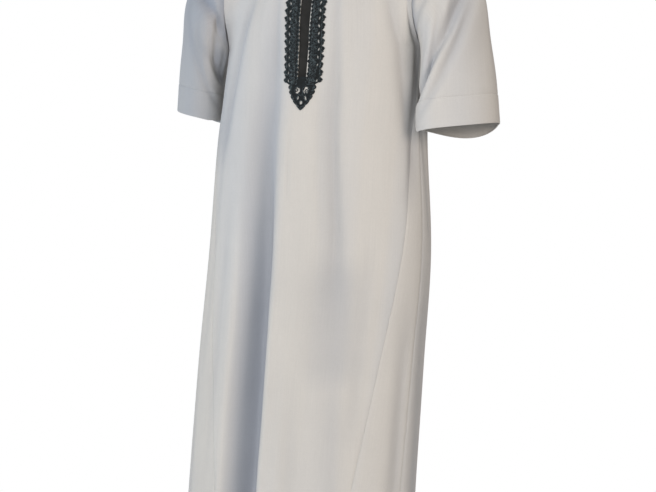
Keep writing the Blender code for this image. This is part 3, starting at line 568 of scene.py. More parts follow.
def fold_depth(folds, level, angle, waver):
    """How far the folds press the cloth in at a level and angle. Waver makes them uneven along their way."""
    total = np.zeros(np.broadcast(level, angle).shape)
    for seed, fold in enumerate(folds):
        stops = (fold.start, fold.middle, fold.end)
        share = (level - fold.start[0]) / (fold.end[0] - fold.start[0])
        centre = 0.0
        for number, (here, turn) in enumerate(stops):
            (one, _), (other, _) = stops[:number] + stops[number + 1 :]
            centre = centre + turn * (level - one) * (level - other) / ((here - one) * (here - other))
        stretch = 1.0 + WAVER_WIDTH * waver * uneven(level, seed + 31)
        centre = centre + waver * WAVER_PLACE * (fold.before + fold.after) / 2 * uneven(level, seed)
        away = (angle - centre + 180.0) % 360.0 - 180.0
        reach = np.where(away < 0, fold.before, fold.after) * stretch
        power = np.where((away > 0) & fold.flat, 4, 2)
        ends = smooth_step(share / FOLD_FADE_IN) * smooth_step((1.0 - share) / FOLD_FADE_OUT)
        ends = np.where((share > 0.0) & (share < 1.0), ends, 0.0)
        strength = fold.depth * (1.0 + WAVER_DEPTH * waver * uneven(level, seed + 57))
        total = total + strength * ends * np.exp(-((np.abs(away) / reach) ** power))
    return total


def ring_point(angle, height):
    """A point of the unfolded body at or below the underarm, and the level direction that faces out there."""
    half_width, front_depth, back_depth, middle = read_table(SECTIONS, height)
    sine = np.sin(np.radians(angle))
    cosine = np.cos(np.radians(angle))
    depth = np.where(cosine > 0, front_depth, back_depth)
    point = stack(middle + half_width * sine, -depth * cosine, height)
    return point, unit(stack(sine / half_width, -cosine / depth, 0.0 * height))


def all_folds(height, angle):
    """The depth of folds and creases together."""
    depth = fold_depth(BODY_FOLDS, height, angle, FOLD_WAVER)
    return depth + fold_depth(BODY_CREASES, height, angle, CREASE_WAVER)


def fold_painted_shading(depth):
    """Painted shading: 0 on ridges as a painted highlight, the level value where the cloth is flat, 1 in deep folds as
    painted shade.
    """
    shallow = 1.0 - np.exp(-np.maximum(depth, 0.0) / PAINTED_SHADE_DEPTH)
    deep = 1.0 - dent(np.maximum(depth, 0.0), 1.0, DEEP_PAINTED_SHADE_DEPTH)
    ridge = 1.0 - np.exp(-np.maximum(-depth, 0.0) / PAINTED_SHADE_DEPTH)
    return LEVEL_PAINTED_SHADING + (1.0 - LEVEL_PAINTED_SHADING) * (0.5 * shallow + 0.5 * deep) - LEVEL_PAINTED_SHADING * ridge


def body_below(angle, height):
    """A point of the folded body at or below the underarm."""
    point, away = ring_point(angle, height)
    return point - away * all_folds(height, angle)[..., None]


def top_edge(across, front):
    """The upper edge of the front or back: the neckline near the middle, the shoulder seam beyond it."""
    share = np.abs(across)
    beyond = np.clip((share - NECK_SHARE) / (1.0 - NECK_SHARE), 0.0, None)[..., None]
    seam = mix(np.array(NECK_SIDE), np.array(SHOULDER_TIP), beyond)
    turn = np.radians(90.0 * np.clip(share / NECK_SHARE, 0.0, 1.0))
    middle = NECK_FRONT if front else NECK_BACK
    curve = np.cos(turn)
    y = mix(NECK_SIDE[1], middle[1], curve)
    neck = stack(NECK_SIDE[0] * np.sin(turn), y, middle[2] * np.maximum(curve, 0.0) ** NECK_CURVE)
    point = np.where((share >= NECK_SHARE)[..., None], seam, neck)
    point[..., 0] *= np.where(across < 0, -1.0, 1.0)
    return point


def panel_angle(across, front, seam=None):
    """The angle round the body at a place across a panel that ends at a seam's angle, or the underarm's."""
    if seam is None:
        seam = SEAMS[0].front_angle if front else SEAMS[0].rear_angle
    return seam * across if front else 180.0 - (180.0 - seam) * across


def body_above(across, rise, front):
    """A point above the underarm. Across runs from -1 to 1, rise from 0 at the underarm to 1 at the top."""
    across, rise = np.broadcast_arrays(np.asarray(across, float), np.asarray(rise, float))
    angle = panel_angle(across, front)
    low, away = ring_point(angle, np.full(across.shape, UNDERARM))
    high = top_edge(across, front)
    armhole = np.where((rise > 0) & (rise < 1), np.abs(np.sin(np.pi * rise)) ** ARMHOLE_EASE, 0.0)
    sign = np.where(across < 0, -1.0, 1.0)
    x = mix(low[..., 0], high[..., 0], rise) - sign * ARMHOLE_PULL * armhole * np.abs(across) ** 3
    y = mix(low[..., 1], high[..., 1], np.maximum(rise, 0.0) ** CHEST_CURVE)
    y = y + (-1 if front else 1) * ARMHOLE_BULGE * armhole * across**4
    z = mix(low[..., 2], high[..., 2], rise)
    fade = smooth_step((1.0 - rise) / FADE_LENGTH)
    return stack(x, y, z) - away * (all_folds(z, angle) * fade)[..., None]


def grid_normals(points, closed=False):
    """Normals of a grid whose rows run down and whose columns run to the right as seen from outside."""
    down = np.gradient(points, axis=0)
    if closed:
        across = np.roll(points, -1, axis=1) - np.roll(points, 1, axis=1)
    else:
        across = np.gradient(points, axis=1)
    return unit(np.cross(down, across))


def run_lengths(points, axis):
    """Distances along a line, or along a grid's rows or columns, from their starts."""
    steps = np.linalg.norm(np.diff(points, axis=axis), axis=-1)
    start = np.zeros_like(np.take(steps, [0], axis=axis))
    return np.cumsum(np.concatenate([start, steps], axis=axis), axis=axis)


def cloth_grid(name, outer, normals, uv, material, closed=False, depth=SHELL, skipped=None, tone=LEVEL_PAINTED_SHADING):
    """Makes a thin closed shell from a grid of outer points, with the cut's own coordinates as its UV map."""
    rows, columns = outer.shape[:2]
    inner = outer - normals * np.broadcast_to(depth, (rows, columns))[..., None]
    count = rows * columns
    index = np.arange(count).reshape(rows, columns)
    right = np.roll(index, -1, axis=1)
    last = columns if closed else columns - 1
    quads = np.stack([index[:-1], index[1:], right[1:], right[:-1]], axis=-1)[:, :last]
    keep = np.ones(quads.shape[:2], bool) if skipped is None else ~skipped
    uv_right = np.roll(uv, -1, axis=1)
    if closed:
        uv_right[:, -1, 0] = uv[:, -1, 0] + (uv[:, -1, 0] - uv[:, -2, 0])
    corner_uv = np.stack([uv[:-1], uv[1:], uv_right[1:], uv_right[:-1]], axis=2)[:, :last]
    faces = quads[keep]
    face_uv = corner_uv[keep]
    walls, wall_uv = border_walls(faces, face_uv, count)
    polygons = np.concatenate([faces, faces[:, ::-1] + count, walls])
    coordinates = np.concatenate([face_uv, face_uv[:, ::-1], wall_uv])
    used, polygons = np.unique(polygons, return_inverse=True)
    points = np.concatenate([outer.reshape(-1, 3), inner.reshape(-1, 3)])[used]
    shell = add_mesh(name, points, polygons.reshape(-1, 4), material, coordinates)
    # Each point's painted fold shading, kept as an attribute that the cloth's colour reads.
    tones = np.broadcast_to(tone, (rows, columns)).ravel()
    layer = shell.data.attributes.new("fold_painted_shading", "FLOAT", "POINT")
    layer.data.foreach_set("value", np.concatenate([tones, tones])[used].astype(np.float32))
    return shell


def border_walls(faces, face_uv, count):
    """The faces that join the outer and inner side along every border, with their corners' coordinates."""
    border = {}
    for face, where in zip(faces.tolist(), face_uv.tolist()):
        for corner in range(4):
            start, end = face[corner], face[(corner + 1) % 4]
            if (end, start) in border:
                del border[(end, start)]
            else:
                border[(start, end)] = (where[corner], where[(corner + 1) % 4])
    walls = [[end, start, start + count, end + count] for start, end in border]
    wall_uv = [[second, first, first, second] for first, second in border.values()]
    return np.array(walls), np.array(wall_uv)


def add_object(name, data):
    """Adds an object with its data to the scene."""
    thing = bpy.data.objects.new(name, data)
    bpy.context.scene.collection.objects.link(thing)
    return thing


def add_uv(data, coordinates):
    """Gives a mesh a UV map named cut, from its corners' coordinates."""
    layer = data.uv_layers.new(name="cut")
    layer.data.foreach_set("uv", np.asarray(coordinates, np.float32).ravel())


def corner_points(data):
    """The number of the point at each corner of a mesh's faces."""
    corners = np.empty(len(data.loops), int)
    data.loops.foreach_get("vertex_index", corners)
    return corners


def add_mesh(name, points, polygons, material, coordinates=None):
    """Adds a mesh object: smooth and with a UV map where it has coordinates, and else flat."""
    data = bpy.data.meshes.new(name)
    data.from_pydata(points.tolist(), [], polygons.tolist())
    if coordinates is not None:
        add_uv(data, coordinates)
        data.shade_smooth()
        data.set_sharp_from_angle(angle=math.radians(50))
    data.materials.append(material)
    data.update()
    return add_object(name, data)


def place(piece, *nodes, slot="cloth"):
    """Lets a piece ride on the body, stand for its CAD nodes and take its finish from their slot."""
    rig.ride(piece, "root")
    if nodes:
        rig.replaces(piece, *nodes)
    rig.slot(piece, slot)
    return piece


def spaced(count, fine):
    """Shares from 0 to 1, evenly spaced, with the fine ones added at both ends."""
    even = np.linspace(fine[-1] * 1.8, 1.0 - fine[-1] * 1.8, count)
    fine = np.array(fine)
    return np.concatenate([fine, even, 1.0 - fine[::-1]])


def seam_angles(height):
    """The angles at which the front and the back end at a height, clear of the seam by half its gap."""
    front_angle, rear_angle = read_table(SEAMS, height)
    half_width, front_depth, _, _ = read_table(SECTIONS, height)
    angles = []
    for angle, way in ((front_angle, -1), (rear_angle, 1)):
        turn = np.radians(angle)
        run = np.hypot(half_width * np.cos(turn), front_depth * np.sin(turn))
        angles.append(angle + way * np.degrees(SEAM_GAP / 2 / run))
    return angles


def slit_across(height):
    """How far across the front the slit's edge lies at a height."""
    share = np.clip((height - NECK_FRONT[2]) / (SLIT_END - NECK_FRONT[2]), 0.0, 1.0)
    return mix(SLIT_HALF_TOP, SLIT_HALF_END, share) / FRONT_RUN


def row_heights():
    """The heights of the body's rows below the underarm, closer together at the hem and its stitch line."""
    stitch_line = HEM + BODY_HEM_DEPTH
    even = np.linspace(UNDERARM, HEM, LOWER_ROWS)
    extra = [SLIT_END, HEM + 0.0008, HEM + 0.002]
    extra += [stitch_line + step for step in HEM_LINE_STEPS]
    heights = np.unique(np.concatenate([even, extra]))[::-1]
    close = np.diff(heights, prepend=heights[0] + 1.0) > -0.0005
    close[0] = False
    return heights[~close | np.isin(heights, extra)]


def hem_form(distance, depth):
    """How far a turned hem stands out at a distance from its edge: thicker below its stitch line."""
    fold = HEM_FOLD * smooth_step((depth - distance) / HEM_EASE)
    return fold - dent(distance - depth, *HEM_LINE_DENT) - dent(distance, *HEM_EDGE_DENT)


def seam_dip(points):
    """How far a panel dips at its side seams, with a little uneven pucker next to them."""
    along = run_lengths(points, 1)
    pucker = 1.0 + 0.35 * np.sin(run_lengths(points, 0)[:, :1] * 260.0)
    dip = np.zeros(along.shape)
    for distance in (along, along[:, -1:] - along):
        dip = dip + dent(distance, *SEAM_DENT) + pucker * dent(distance, *SEAM_PUCKER)
    return dip


def cut_uv(points):
    """The cut's own coordinates in metres: along the weft from the middle column, and down the warp."""
    along = run_lengths(points, 1)
    middle = points.shape[1] // 2
    down = run_lengths(points, 0).mean(axis=1, keepdims=True)
    return np.stack([along - along[:, middle : middle + 1], -down + 0.0 * along], axis=-1)


def body_panel(front):
    """The points of the front or back panel, row by row from the top, with its rows' heights and its painted fold
    shading.
    """
    heights = row_heights()
    half = spaced(HALF_COLUMNS, PANEL_EDGE)
    rises = 1.0 - spaced(UPPER_ROWS, PANEL_TOP)[:-1]
    rises = rises[rises > 0.012]
    every_height = np.concatenate([mix(UNDERARM, NECK_FRONT[2], rises), heights])
    if front:
        edge = slit_across(every_height)[:, None]
        positive = edge + (1.0 - edge) * half[None, :]
        across = np.concatenate([-positive[:, ::-1], positive], axis=1)
        across = across + SLIT_SHIFT / FRONT_RUN * (1.0 - across**2)
    else:
        positive = np.broadcast_to(half, (len(every_height), len(half)))
        across = np.concatenate([positive[:, ::-1], -positive[:, 1:]], axis=1)
    upper_across, lower_across = np.split(across, [len(rises)])
    upper = body_above((1.0 - PANEL_INSET) * upper_across, rises[:, None], front)
    angles = panel_angle(lower_across, front, seam_angles(heights)[0 if front else 1][:, None])
    lower = body_below(angles, heights[:, None] + 0.0 * angles)
    fade = smooth_step((1.0 - rises) / FADE_LENGTH)[:, None]
    upper_depths = all_folds(upper[..., 2], panel_angle(upper_across, front)) * fade
    depths = np.concatenate([upper_depths, all_folds(heights[:, None], angles)])
    return np.concatenate([upper, lower]), every_height, fold_painted_shading(depths)


def add_panel(name, points, heights, tone, cloth, skipped=None):
    """A panel of the body, with its hem, and dipped at its side seams."""
    shift = hem_form(heights - HEM, BODY_HEM_DEPTH)[:, None] - seam_dip(points)
    points = points + grid_normals(points) * shift[..., None]
    normals = grid_normals(points)
    panel = cloth_grid("cloth_" + name, points, normals, cut_uv(points), cloth, skipped=skipped, tone=tone)
    return place(panel, name)


def add_front(cloth):
    """The front panel, slit at the neck."""
    points, heights, tone = body_panel(True)
    skipped = np.zeros((points.shape[0] - 1, points.shape[1] - 1), bool)
    skipped[:, points.shape[1] // 2 - 1] = heights[1:] >= SLIT_END - 1e-6
    return add_panel("front", points, heights, tone, cloth, skipped)


def add_back(cloth):
    """The back panel, in one piece."""
    points, heights, tone = body_panel(False)
    return add_panel("back", points, heights, tone, cloth)


def add_gore(name, side, cloth):
    """A long triangle between the front and the back."""
    heights = row_heights()
    front_angle, rear_angle = read_table(SEAMS, heights)
    front_end, rear_end = seam_angles(heights)
    start = 2 * front_angle - front_end
    end = 2 * rear_angle - rear_end
    shares = spaced(GORE_COLUMNS, GORE_EDGE)[None, :]
    angles = mix(start[:, None], end[:, None], shares)
    angles = angles if side > 0 else -angles[:, ::-1]
    points = body_below(angles, heights[:, None] + 0.0 * angles)
    return add_panel(name, points, heights, fold_painted_shading(all_folds(heights[:, None], angles)), cloth)


def armhole_loop(side):
    """The armhole, from the underarm up its front edge to the shoulder and down its back edge."""
    rises = np.linspace(0.0, 1.0, ARMHOLE_STEPS + 1)
    front = body_above(np.full(rises.shape, side * 1.0), rises, True)
    back = body_above(np.full(rises.shape, side * 1.0), rises, False)
    return np.concatenate([front, back[-2::-1]])


def cuff_points(sleeve, angle):
    """Points of the sleeve's lower edge."""
    turn = math.radians(sleeve.turn)
    around = np.radians(angle) + turn
    long_way = np.array((math.cos(turn), math.sin(turn), 0.0))
    short_way = np.array((math.sin(turn), -math.cos(turn), 0.0))
    lift = sleeve.rise / 2 * np.cos(around) + sleeve.lean * np.sin(around)
    lift = lift - sleeve.droop * np.sin(around) ** 2
    lift = lift + sleeve.sag * np.minimum(np.sin(around), 0.0) * np.cos(around)
    point = stack(sleeve.out + 0.0 * angle, sleeve.back + 0.0 * angle, sleeve.height + lift)
    point = point + long_way * (sleeve.long_half * np.cos(around))[:, None]
    point = point + short_way * (sleeve.short_half * np.sin(around))[:, None]
    point[:, 0] *= sleeve.side
    return point


def sleeve_points(sleeve):
    """The sleeve's outer points row by row from the armhole, with their distances from the cuff and their painted
    shading.
    """
    loop = armhole_loop(sleeve.side)
    lengths = run_lengths(loop, 0)
    way_round = lengths[-1] + np.linalg.norm(loop[0] - loop[-1])
    angle = 360.0 * (lengths[ARMHOLE_STEPS] - lengths) / way_round
    end = cuff_points(sleeve, angle)
    under = (1.0 - np.cos(np.radians(angle))) / 2
    slope = np.radians(mix(SLEEVE_TOP_SLOPE, SLEEVE_UNDER_SLOPE, under))
    spread = -SLEEVE_SPREAD * np.sin(np.radians(angle))
    out = stack(np.cos(slope) * sleeve.side, spread, -np.sin(slope))
    up = np.array((-SLEEVE_FLARE * sleeve.side, 0.0, 1.0))
    span = np.linalg.norm(end - loop, axis=1)[:, None]
    first = loop + out * span * mix(SLEEVE_START_PULL_TOP, SLEEVE_START_PULL, under)[:, None]
    second = end + up * span * mix(SLEEVE_END_PULL_TOP, SLEEVE_END_PULL, under)[:, None]
    inside = np.linspace(0.006, SLEEVE_HEM_DEPTH - 0.006, 12)
    hem = np.concatenate([[0.0, 0.0010, 0.0025], inside, SLEEVE_HEM_DEPTH + np.array(HEM_LINE_STEPS)])
    reach = 3.0 * span[:, 0] * mix(SLEEVE_END_PULL_TOP, SLEEVE_END_PULL, under)
    hem_shares = 1.0 - hem[:, None] / reach[None, :]
    top_shares = np.linspace(0.0006, 1.0, SLEEVE_ROWS)[:-1, None] * (hem_shares[-1][None, :] - 0.012)
    shares = np.concatenate([top_shares, hem_shares[::-1]])
    rest = (1.0 - shares)[..., None]
    go = shares[..., None]
    points = loop * rest**3 + 3 * first * rest**2 * go + 3 * second * rest * go**2 + end * go**3
    normals = grid_normals(points, closed=True) * sleeve.side
    form = dent(shares - SLEEVE_FLAT_LEVEL, SLEEVE_FLAT, SLEEVE_FLAT_REACH)
    form = form * dent(angle[None, :], 1.0, SLEEVE_FLAT_ANGLE)
    depth = fold_depth(sleeve.folds, shares, angle[None, :], FOLD_WAVER)
    depth = depth + fold_depth(sleeve.creases, shares, angle[None, :], CREASE_WAVER)
    depth = depth + fold_depth(sleeve.cross_folds, angle[None, :], 100.0 * shares, 0.0)
    inwards = depth * smooth_step(shares / 0.12) + form
    points = points - normals * inwards[..., None]
    distance = (1.0 - shares) * reach[None, :]
    tone = fold_painted_shading(depth)
    # Painted shade darkens the sleeve next to its armhole seam, most round its lower side.
    near = dent(run_lengths(points, 0), 1.0, ARMHOLE_SHADE)
    low = np.exp(-(((np.abs(angle) - ARMHOLE_SHADE_MIDDLE) / ARMHOLE_SHADE_REACH) ** 4))[None, :]
    return points, distance, tone + (1.0 - tone) * near * low


def add_sleeve(name, sleeve, cloth):
    """A sleeve with its deep turned hem."""
    points, distance, tone = sleeve_points(sleeve)
    if sleeve.side < 0:
        points, distance, tone = points[:, ::-1], distance[:, ::-1], tone[:, ::-1]
    normals = grid_normals(points, closed=True)
    from_armhole = run_lengths(points, 0)
    pucker = 1.0 + 0.4 * np.sin(np.arange(points.shape[1]) * 0.9)[None, :]
    dip = dent(from_armhole, *ARMHOLE_DENT) + pucker * dent(from_armhole, *ARMHOLE_PUCKER)
    shift = hem_form(distance, SLEEVE_HEM_DEPTH) - dip
    points = points + normals * shift[..., None]
    normals = grid_normals(points, closed=True)
    depth = SHELL + HEM_EXTRA * smooth_step((SLEEVE_HEM_DEPTH - distance) / HEM_EASE)
    sleeve_cloth = cloth_grid(
        "cloth_sleeve_" + name, points, normals, cut_uv(points), cloth, closed=True, depth=depth, tone=tone
    )
    place(sleeve_cloth, "sleeve_" + name)
    line = np.argmin(np.abs(distance - SLEEVE_HEM_DEPTH).mean(axis=1))
    return sleeve_cloth, points[line], normals[line]


def neckline():
    """The neckline from the slit's left edge, round the back, to its right edge."""
    rise = 1.0 - PANEL_INSET
    edge = float(slit_across(np.array(NECK_FRONT[2])))
    front = np.linspace(edge, NECK_SHARE, 48)
    back = np.linspace(NECK_SHARE, -NECK_SHARE, 96)[1:-1]
    runs = ((front, True), (back, False), (-front[::-1], True))
    return np.concatenate([body_above(across, rise, is_front) for across, is_front in runs])


def add_neckband(cloth):
    """A narrow band that stands round the neck, open in front over the slit."""
    low = neckline() + np.array((0.0, 0.0, SEAM_GAP))
    centre = np.array((0.0, (NECK_FRONT[1] + NECK_BACK[1]) / 2, 0.0))
    lean = (centre - low) * np.array((1.0, 1.0, 0.0)) * NECKBAND_LEAN
    shares = np.array(NECKBAND_ROWS)
    rows = low[None] + (lean + np.array((0.0, 0.0, NECKBAND_HEIGHT)))[None] * shares[:, None, None]
    normals = grid_normals(rows)
    round_edge = -dent(1.0 - shares, 0.0008, 0.05) - dent(shares, 0.0008, 0.06)
    rows = rows + normals * round_edge[:, None, None]
    band = cloth_grid("cloth_neckband", rows, grid_normals(rows), cut_uv(rows), cloth, depth=NECKBAND_CLOTH)
    return place(band, "neckband"), rows[NECKBAND_STITCH_ROW], normals[NECKBAND_STITCH_ROW]


class Bed:
    """The front's outer surface near its middle line, as points and normals read by offset and height."""

    def __init__(self):
        self.shift = SLIT_SHIFT
        self.offsets = np.linspace(*BED_OFFSETS)
        self.heights = np.linspace(*BED_HEIGHTS)
        offset, height = np.meshgrid(self.offsets, self.heights)
        self.points = self.find(offset, height)
        self.normals = grid_normals(self.points)

    def find(self, offset, height):
        """The front's points at offsets from its middle line and heights."""
        half_width = read_table(SECTIONS, height)[0]
        low = body_below(np.degrees(np.arcsin(offset / half_width)), height)
        level = np.maximum(height, UNDERARM)
        across = offset / FRONT_RUN
        for _ in range(5):
            rise = (level - UNDERARM) / (top_edge(across, True)[..., 2] - UNDERARM)
            reached = body_above(across, rise, True)[..., 0] - body_above(0.0 * across, rise, True)[..., 0]
            reached = np.where(reached == 0, 1.0, reached)
            across = np.where(np.abs(offset) > 1e-6, across * offset / reached, 0.0)
        high = body_above(across, rise, True)
        return np.where((height <= UNDERARM)[..., None], low, high)

    def read(self, offset, height):
        """Points and normals at offsets from the slit's middle and heights, between those of the table."""
        offset = offset + self.shift
        row, down = self.cell(height, self.heights)
        column, aside = self.cell(offset, self.offsets)
        found = []
        for table in (self.points, self.normals):
            upper = mix(table[row, column], table[row, column + 1], aside)
            lower = mix(table[row + 1, column], table[row + 1, column + 1], aside)
            found.append(mix(upper, lower, down))
        return found[0], unit(found[1])

    @staticmethod
    def cell(values, steps):
        """The step that each value comes after, and how far it lies on the way to the next one."""
        place = np.clip((values - steps[0]) / (steps[1] - steps[0]), 0, len(steps) - 1.001)
        return place.astype(int), (place - place.astype(int))[..., None]


def add_strip(bed, strip_cloth):
    """The charcoal underlap that closes the slit from behind."""
    heights = np.linspace(STRIP_TOP, STRIP_BOTTOM, 90)[:, None]
    offsets = np.linspace(-STRIP_HALF_WIDTH, STRIP_HALF_WIDTH, 23)[None, :]
    offset, height = np.broadcast_arrays(offsets, heights)
    points, normals = bed.read(offset, height)
    wave = 0.00025 * np.sin(height * 95.0 + 2.0 * np.sin(height * 31.0)) * (offset / STRIP_HALF_WIDTH)
    points = points - normals * (STRIP_DEPTH + wave)[..., None]
    strip = cloth_grid("cloth_strip", points, normals, cut_uv(points), strip_cloth, depth=0.0010)
    return place(strip, "placket_strip", slot="placket")


class Tubes:
    """Cords laid on the front: tubes along paths of (offset, height, lift), gathered in one mesh."""

    def __init__(self, bed):
        self.bed = bed
        self.points = []
        self.polygons = []
        self.coordinates = []
        self.count = 0

    def add(self, path, radius=CORD_RADIUS, sides=6, closed=False):
        """Adds one cord."""
        path = np.asarray(path, float)
        radius = np.broadcast_to(np.asarray(radius, float), (len(path),))
        if closed:
            ahead = np.roll(path, -1, axis=0) - np.roll(path, 1, axis=0)
        else:
            ahead = np.gradient(path, axis=0)
        ahead = unit(ahead * np.array((1.0, 1.0, 0.35)))
        aside = unit(np.stack([-ahead[:, 1], ahead[:, 0], 0.0 * ahead[:, 0]], axis=-1) + 1e-9)
        turn = np.arange(sides) * FULL_TURN / sides
        ring = aside[:, None] * np.cos(turn)[None, :, None]
        ring = ring + np.array((0.0, 0.0, CORD_FLATNESS)) * np.sin(turn)[None, :, None]
        flat = path[:, None] + ring * radius[:, None, None]
        self.keep(flat, closed)

    def keep(self, flat, closed):
        """Maps a tube's rings onto the front and adds their faces."""
        rows, sides = flat.shape[:2]
        points, normals = self.bed.read(flat[..., 0], flat[..., 1])
        points = points + normals * flat[..., 2:3]
        index = np.arange(rows * sides).reshape(rows, sides) + self.count
        turned = np.roll(index, -1, axis=1)
        corners = [index, np.roll(index, -1, axis=0), np.roll(turned, -1, axis=0), turned]
        quads = np.stack(corners, axis=-1)[: rows if closed else rows - 1]
        self.polygons += quads.reshape(-1, 4).tolist()
        self.coordinates += flat[..., :2].reshape(-1, 2).tolist()
        if not closed:
            self.polygons.append(index[0].tolist())
            self.polygons.append(index[-1, ::-1].tolist())
        self.points.append(points.reshape(-1, 3))
        self.count += rows * sides

    def finish(self, name, material):
        """Makes the mesh."""
        data = bpy.data.meshes.new(name)
        data.from_pydata(np.concatenate(self.points).tolist(), [], self.polygons)
        add_uv(data, np.array(self.coordinates)[corner_points(data)])
        mesh = bmesh.new()
        mesh.from_mesh(data)
        bmesh.ops.recalc_face_normals(mesh, faces=mesh.faces)
        mesh.to_mesh(data)
        mesh.free()
        data.shade_smooth()
        data.materials.append(material)
        return add_object(name, data)


def down_lace(height):
    """The share of the lace bands' length at a height."""
    return (height - LACE_TOP_INNER) / (LACE_END - LACE_TOP_INNER)


def band_inner(height):
    """The inner edge of a lace band at a height, without its scallops."""
    return mix(LACE_INNER_TOP, LACE_INNER_END, down_lace(height))


def spread(across, height, reach):
    """Moves a band's places outwards, the more the nearer they lie to its outer edge."""
    inner = band_inner(height)
    return across + mix(reach.top, reach.end, down_lace(height)) * (across - inner) / (LACE_NOTCH - inner)


def scalloped_edge(height, bumps, reach):
    """A band's inner edge with its uneven scallops."""
    share = np.clip(down_lace(height), 0.0, 1.0)
    place = share * (LACE_SCALLOPS - 0.001)
    size = mix(reach.scallop_top, reach.scallop_end, share) * bumps[place.astype(int)]
    return band_inner(height) + reach.base - size * np.abs(np.sin(np.pi * place)) ** 0.8


def slot_outline(centre, length, width, slant):
    """A slot with pointed ends, leaning from upright by the slant."""
    turn = math.radians(slant)
    points = []
    for along, aside in ((-0.5, -0.1), (-0.3, 0.35), (0.05, 0.5), (0.5, 0.1), (0.3, -0.35), (-0.05, -0.5)):
        a = along * length
        b = aside * width
        across = centre[0] + b * math.cos(turn) - a * math.sin(turn)
        points.append((across, centre[1] + b * math.sin(turn) + a * math.cos(turn)))
    return points


def band_slots(side, reach):
    """The slots of a band: centre, length, width and slant of each, uneven as crochet is."""
    slots = []
    for repeat in range(LACE_REPEATS):
        chance = RANDOM.random(5)
        if chance[0] < 0.08:
            continue
        height = LACE_TOP_OUTER + LACE_PITCH * (repeat + 0.5)
        across = spread(SLOT_ACROSS + mix(-0.0008, 0.0008, chance[1]), height, reach)
        slant = SLOT_SLANT * (1 if (repeat + side) % 2 else -1) * mix(0.6, 1.4, chance[2])
        size = mix(1.08, 0.72, repeat / LACE_REPEATS)
        length = SLOT_LENGTH * size * mix(0.8, 1.1, chance[3])
        slots.append(((across, height), length, SLOT_WIDTH * size * mix(0.75, 1.05, chance[4]), slant))
    return slots


def band_outline(bumps, reach):
    """The outline of a band's ground: scallops inside, hooked picots outside and a slanting lower edge."""
    heights = np.linspace(LACE_TOP_INNER, LACE_END, LACE_SCALLOPS * 5 + 1)
    outline = list(zip(scalloped_edge(heights, bumps, reach), heights))
    outline.append((spread(LACE_NOTCH - 0.010, LACE_END, reach), LACE_END))
    for repeat in range(LACE_REPEATS, 0, -1):
        for along, out in reversed(PICOT):
            height = LACE_TOP_OUTER + LACE_PITCH * (repeat - 1 + along)
            if height < LOWEST_PICOT:
                continue
            across = LACE_NOTCH + (LACE_TOOTH - LACE_NOTCH) * out * mix(0.75, 1.15, RANDOM.random())
            outline.append((spread(across, height, reach), height))
    return outline


def ring_path(centre, radius, lift, steps, stretch, turn):
    """A closed oval path."""
    angles = np.arange(steps) * FULL_TURN / steps
    a = radius * stretch * np.cos(angles)
    b = radius * np.sin(angles)
    across = centre[0] + a * math.cos(turn) - b * math.sin(turn)
    height = centre[1] + a * math.sin(turn) + b * math.cos(turn)
    return stack(across, height, lift)


def scroll_path(centre, radius, turns, lift, start, way, steps=18):
    """A cord curled up like a snail."""
    share = np.linspace(0.0, 1.0, steps)
    angle = start + way * turns * FULL_TURN * share
    reach = radius * mix(0.22, 1.0, share)
    return stack(centre[0] + reach * np.cos(angle), centre[1] + reach * np.sin(angle), lift)


def flat_lace(bed, name, outline, openings, mirrored, material):
    """Fills a flat outline with its openings, divides it finely and lays it on the front."""
    curve = bpy.data.curves.new(name + "_outline", "CURVE")
    curve.dimensions = "2D"
    curve.fill_mode = "BOTH"
    curve.extrude = LACE_THICKNESS / 2
    for points in (outline, *openings):
        spline = curve.splines.new("POLY")
        spline.use_cyclic_u = True
        spline.points.add(len(points) - 1)
        for where, (across, height) in zip(spline.points, points):
            where.co = (across, height, 0.0, 1.0)
    flat = add_object(name + "_outline", curve)
    seen = flat.evaluated_get(bpy.context.evaluated_depsgraph_get())
    data = bpy.data.meshes.new_from_object(seen)
    data.name = name + "_ground"
    bpy.data.objects.remove(flat, do_unlink=True)
    mesh = bmesh.new()
    mesh.from_mesh(data)
    bmesh.ops.remove_doubles(mesh, verts=mesh.verts, dist=0.00001)
    for axis, cell in enumerate(LACE_CELLS):
        places = [vertex.co[axis] for vertex in mesh.verts]
        low, high = min(places), max(places)
        way = Vector((1.0 - axis, axis, 0.0))
        cells = max(1, round((high - low) / cell))
        for step in range(1, cells):
            everything = [*mesh.verts, *mesh.edges, *mesh.faces]
            where = way * mix(low, high, step / cells)
            bmesh.ops.bisect_plane(mesh, geom=everything, dist=0.00002, plane_co=where, plane_no=way)
    coordinates = np.array([vertex.co for vertex in mesh.verts])
    if mirrored:
        coordinates[:, 0] *= -1.0
        bmesh.ops.reverse_faces(mesh, faces=mesh.faces)
    mesh.to_mesh(data)
    mesh.free()
    points, normals = bed.read(coordinates[:, 0], coordinates[:, 1])
    points = points + normals * (LACE_LIFT + LACE_THICKNESS / 2 + coordinates[:, 2:3])
    data.vertices.foreach_set("co", points.astype(np.float32).ravel())
    while data.uv_layers:
        data.uv_layers.remove(data.uv_layers[0])
    add_uv(data, coordinates[corner_points(data), :2])
    data.materials.clear()
    data.materials.append(material)
    data.update()
    return add_object(name + "_ground", data)


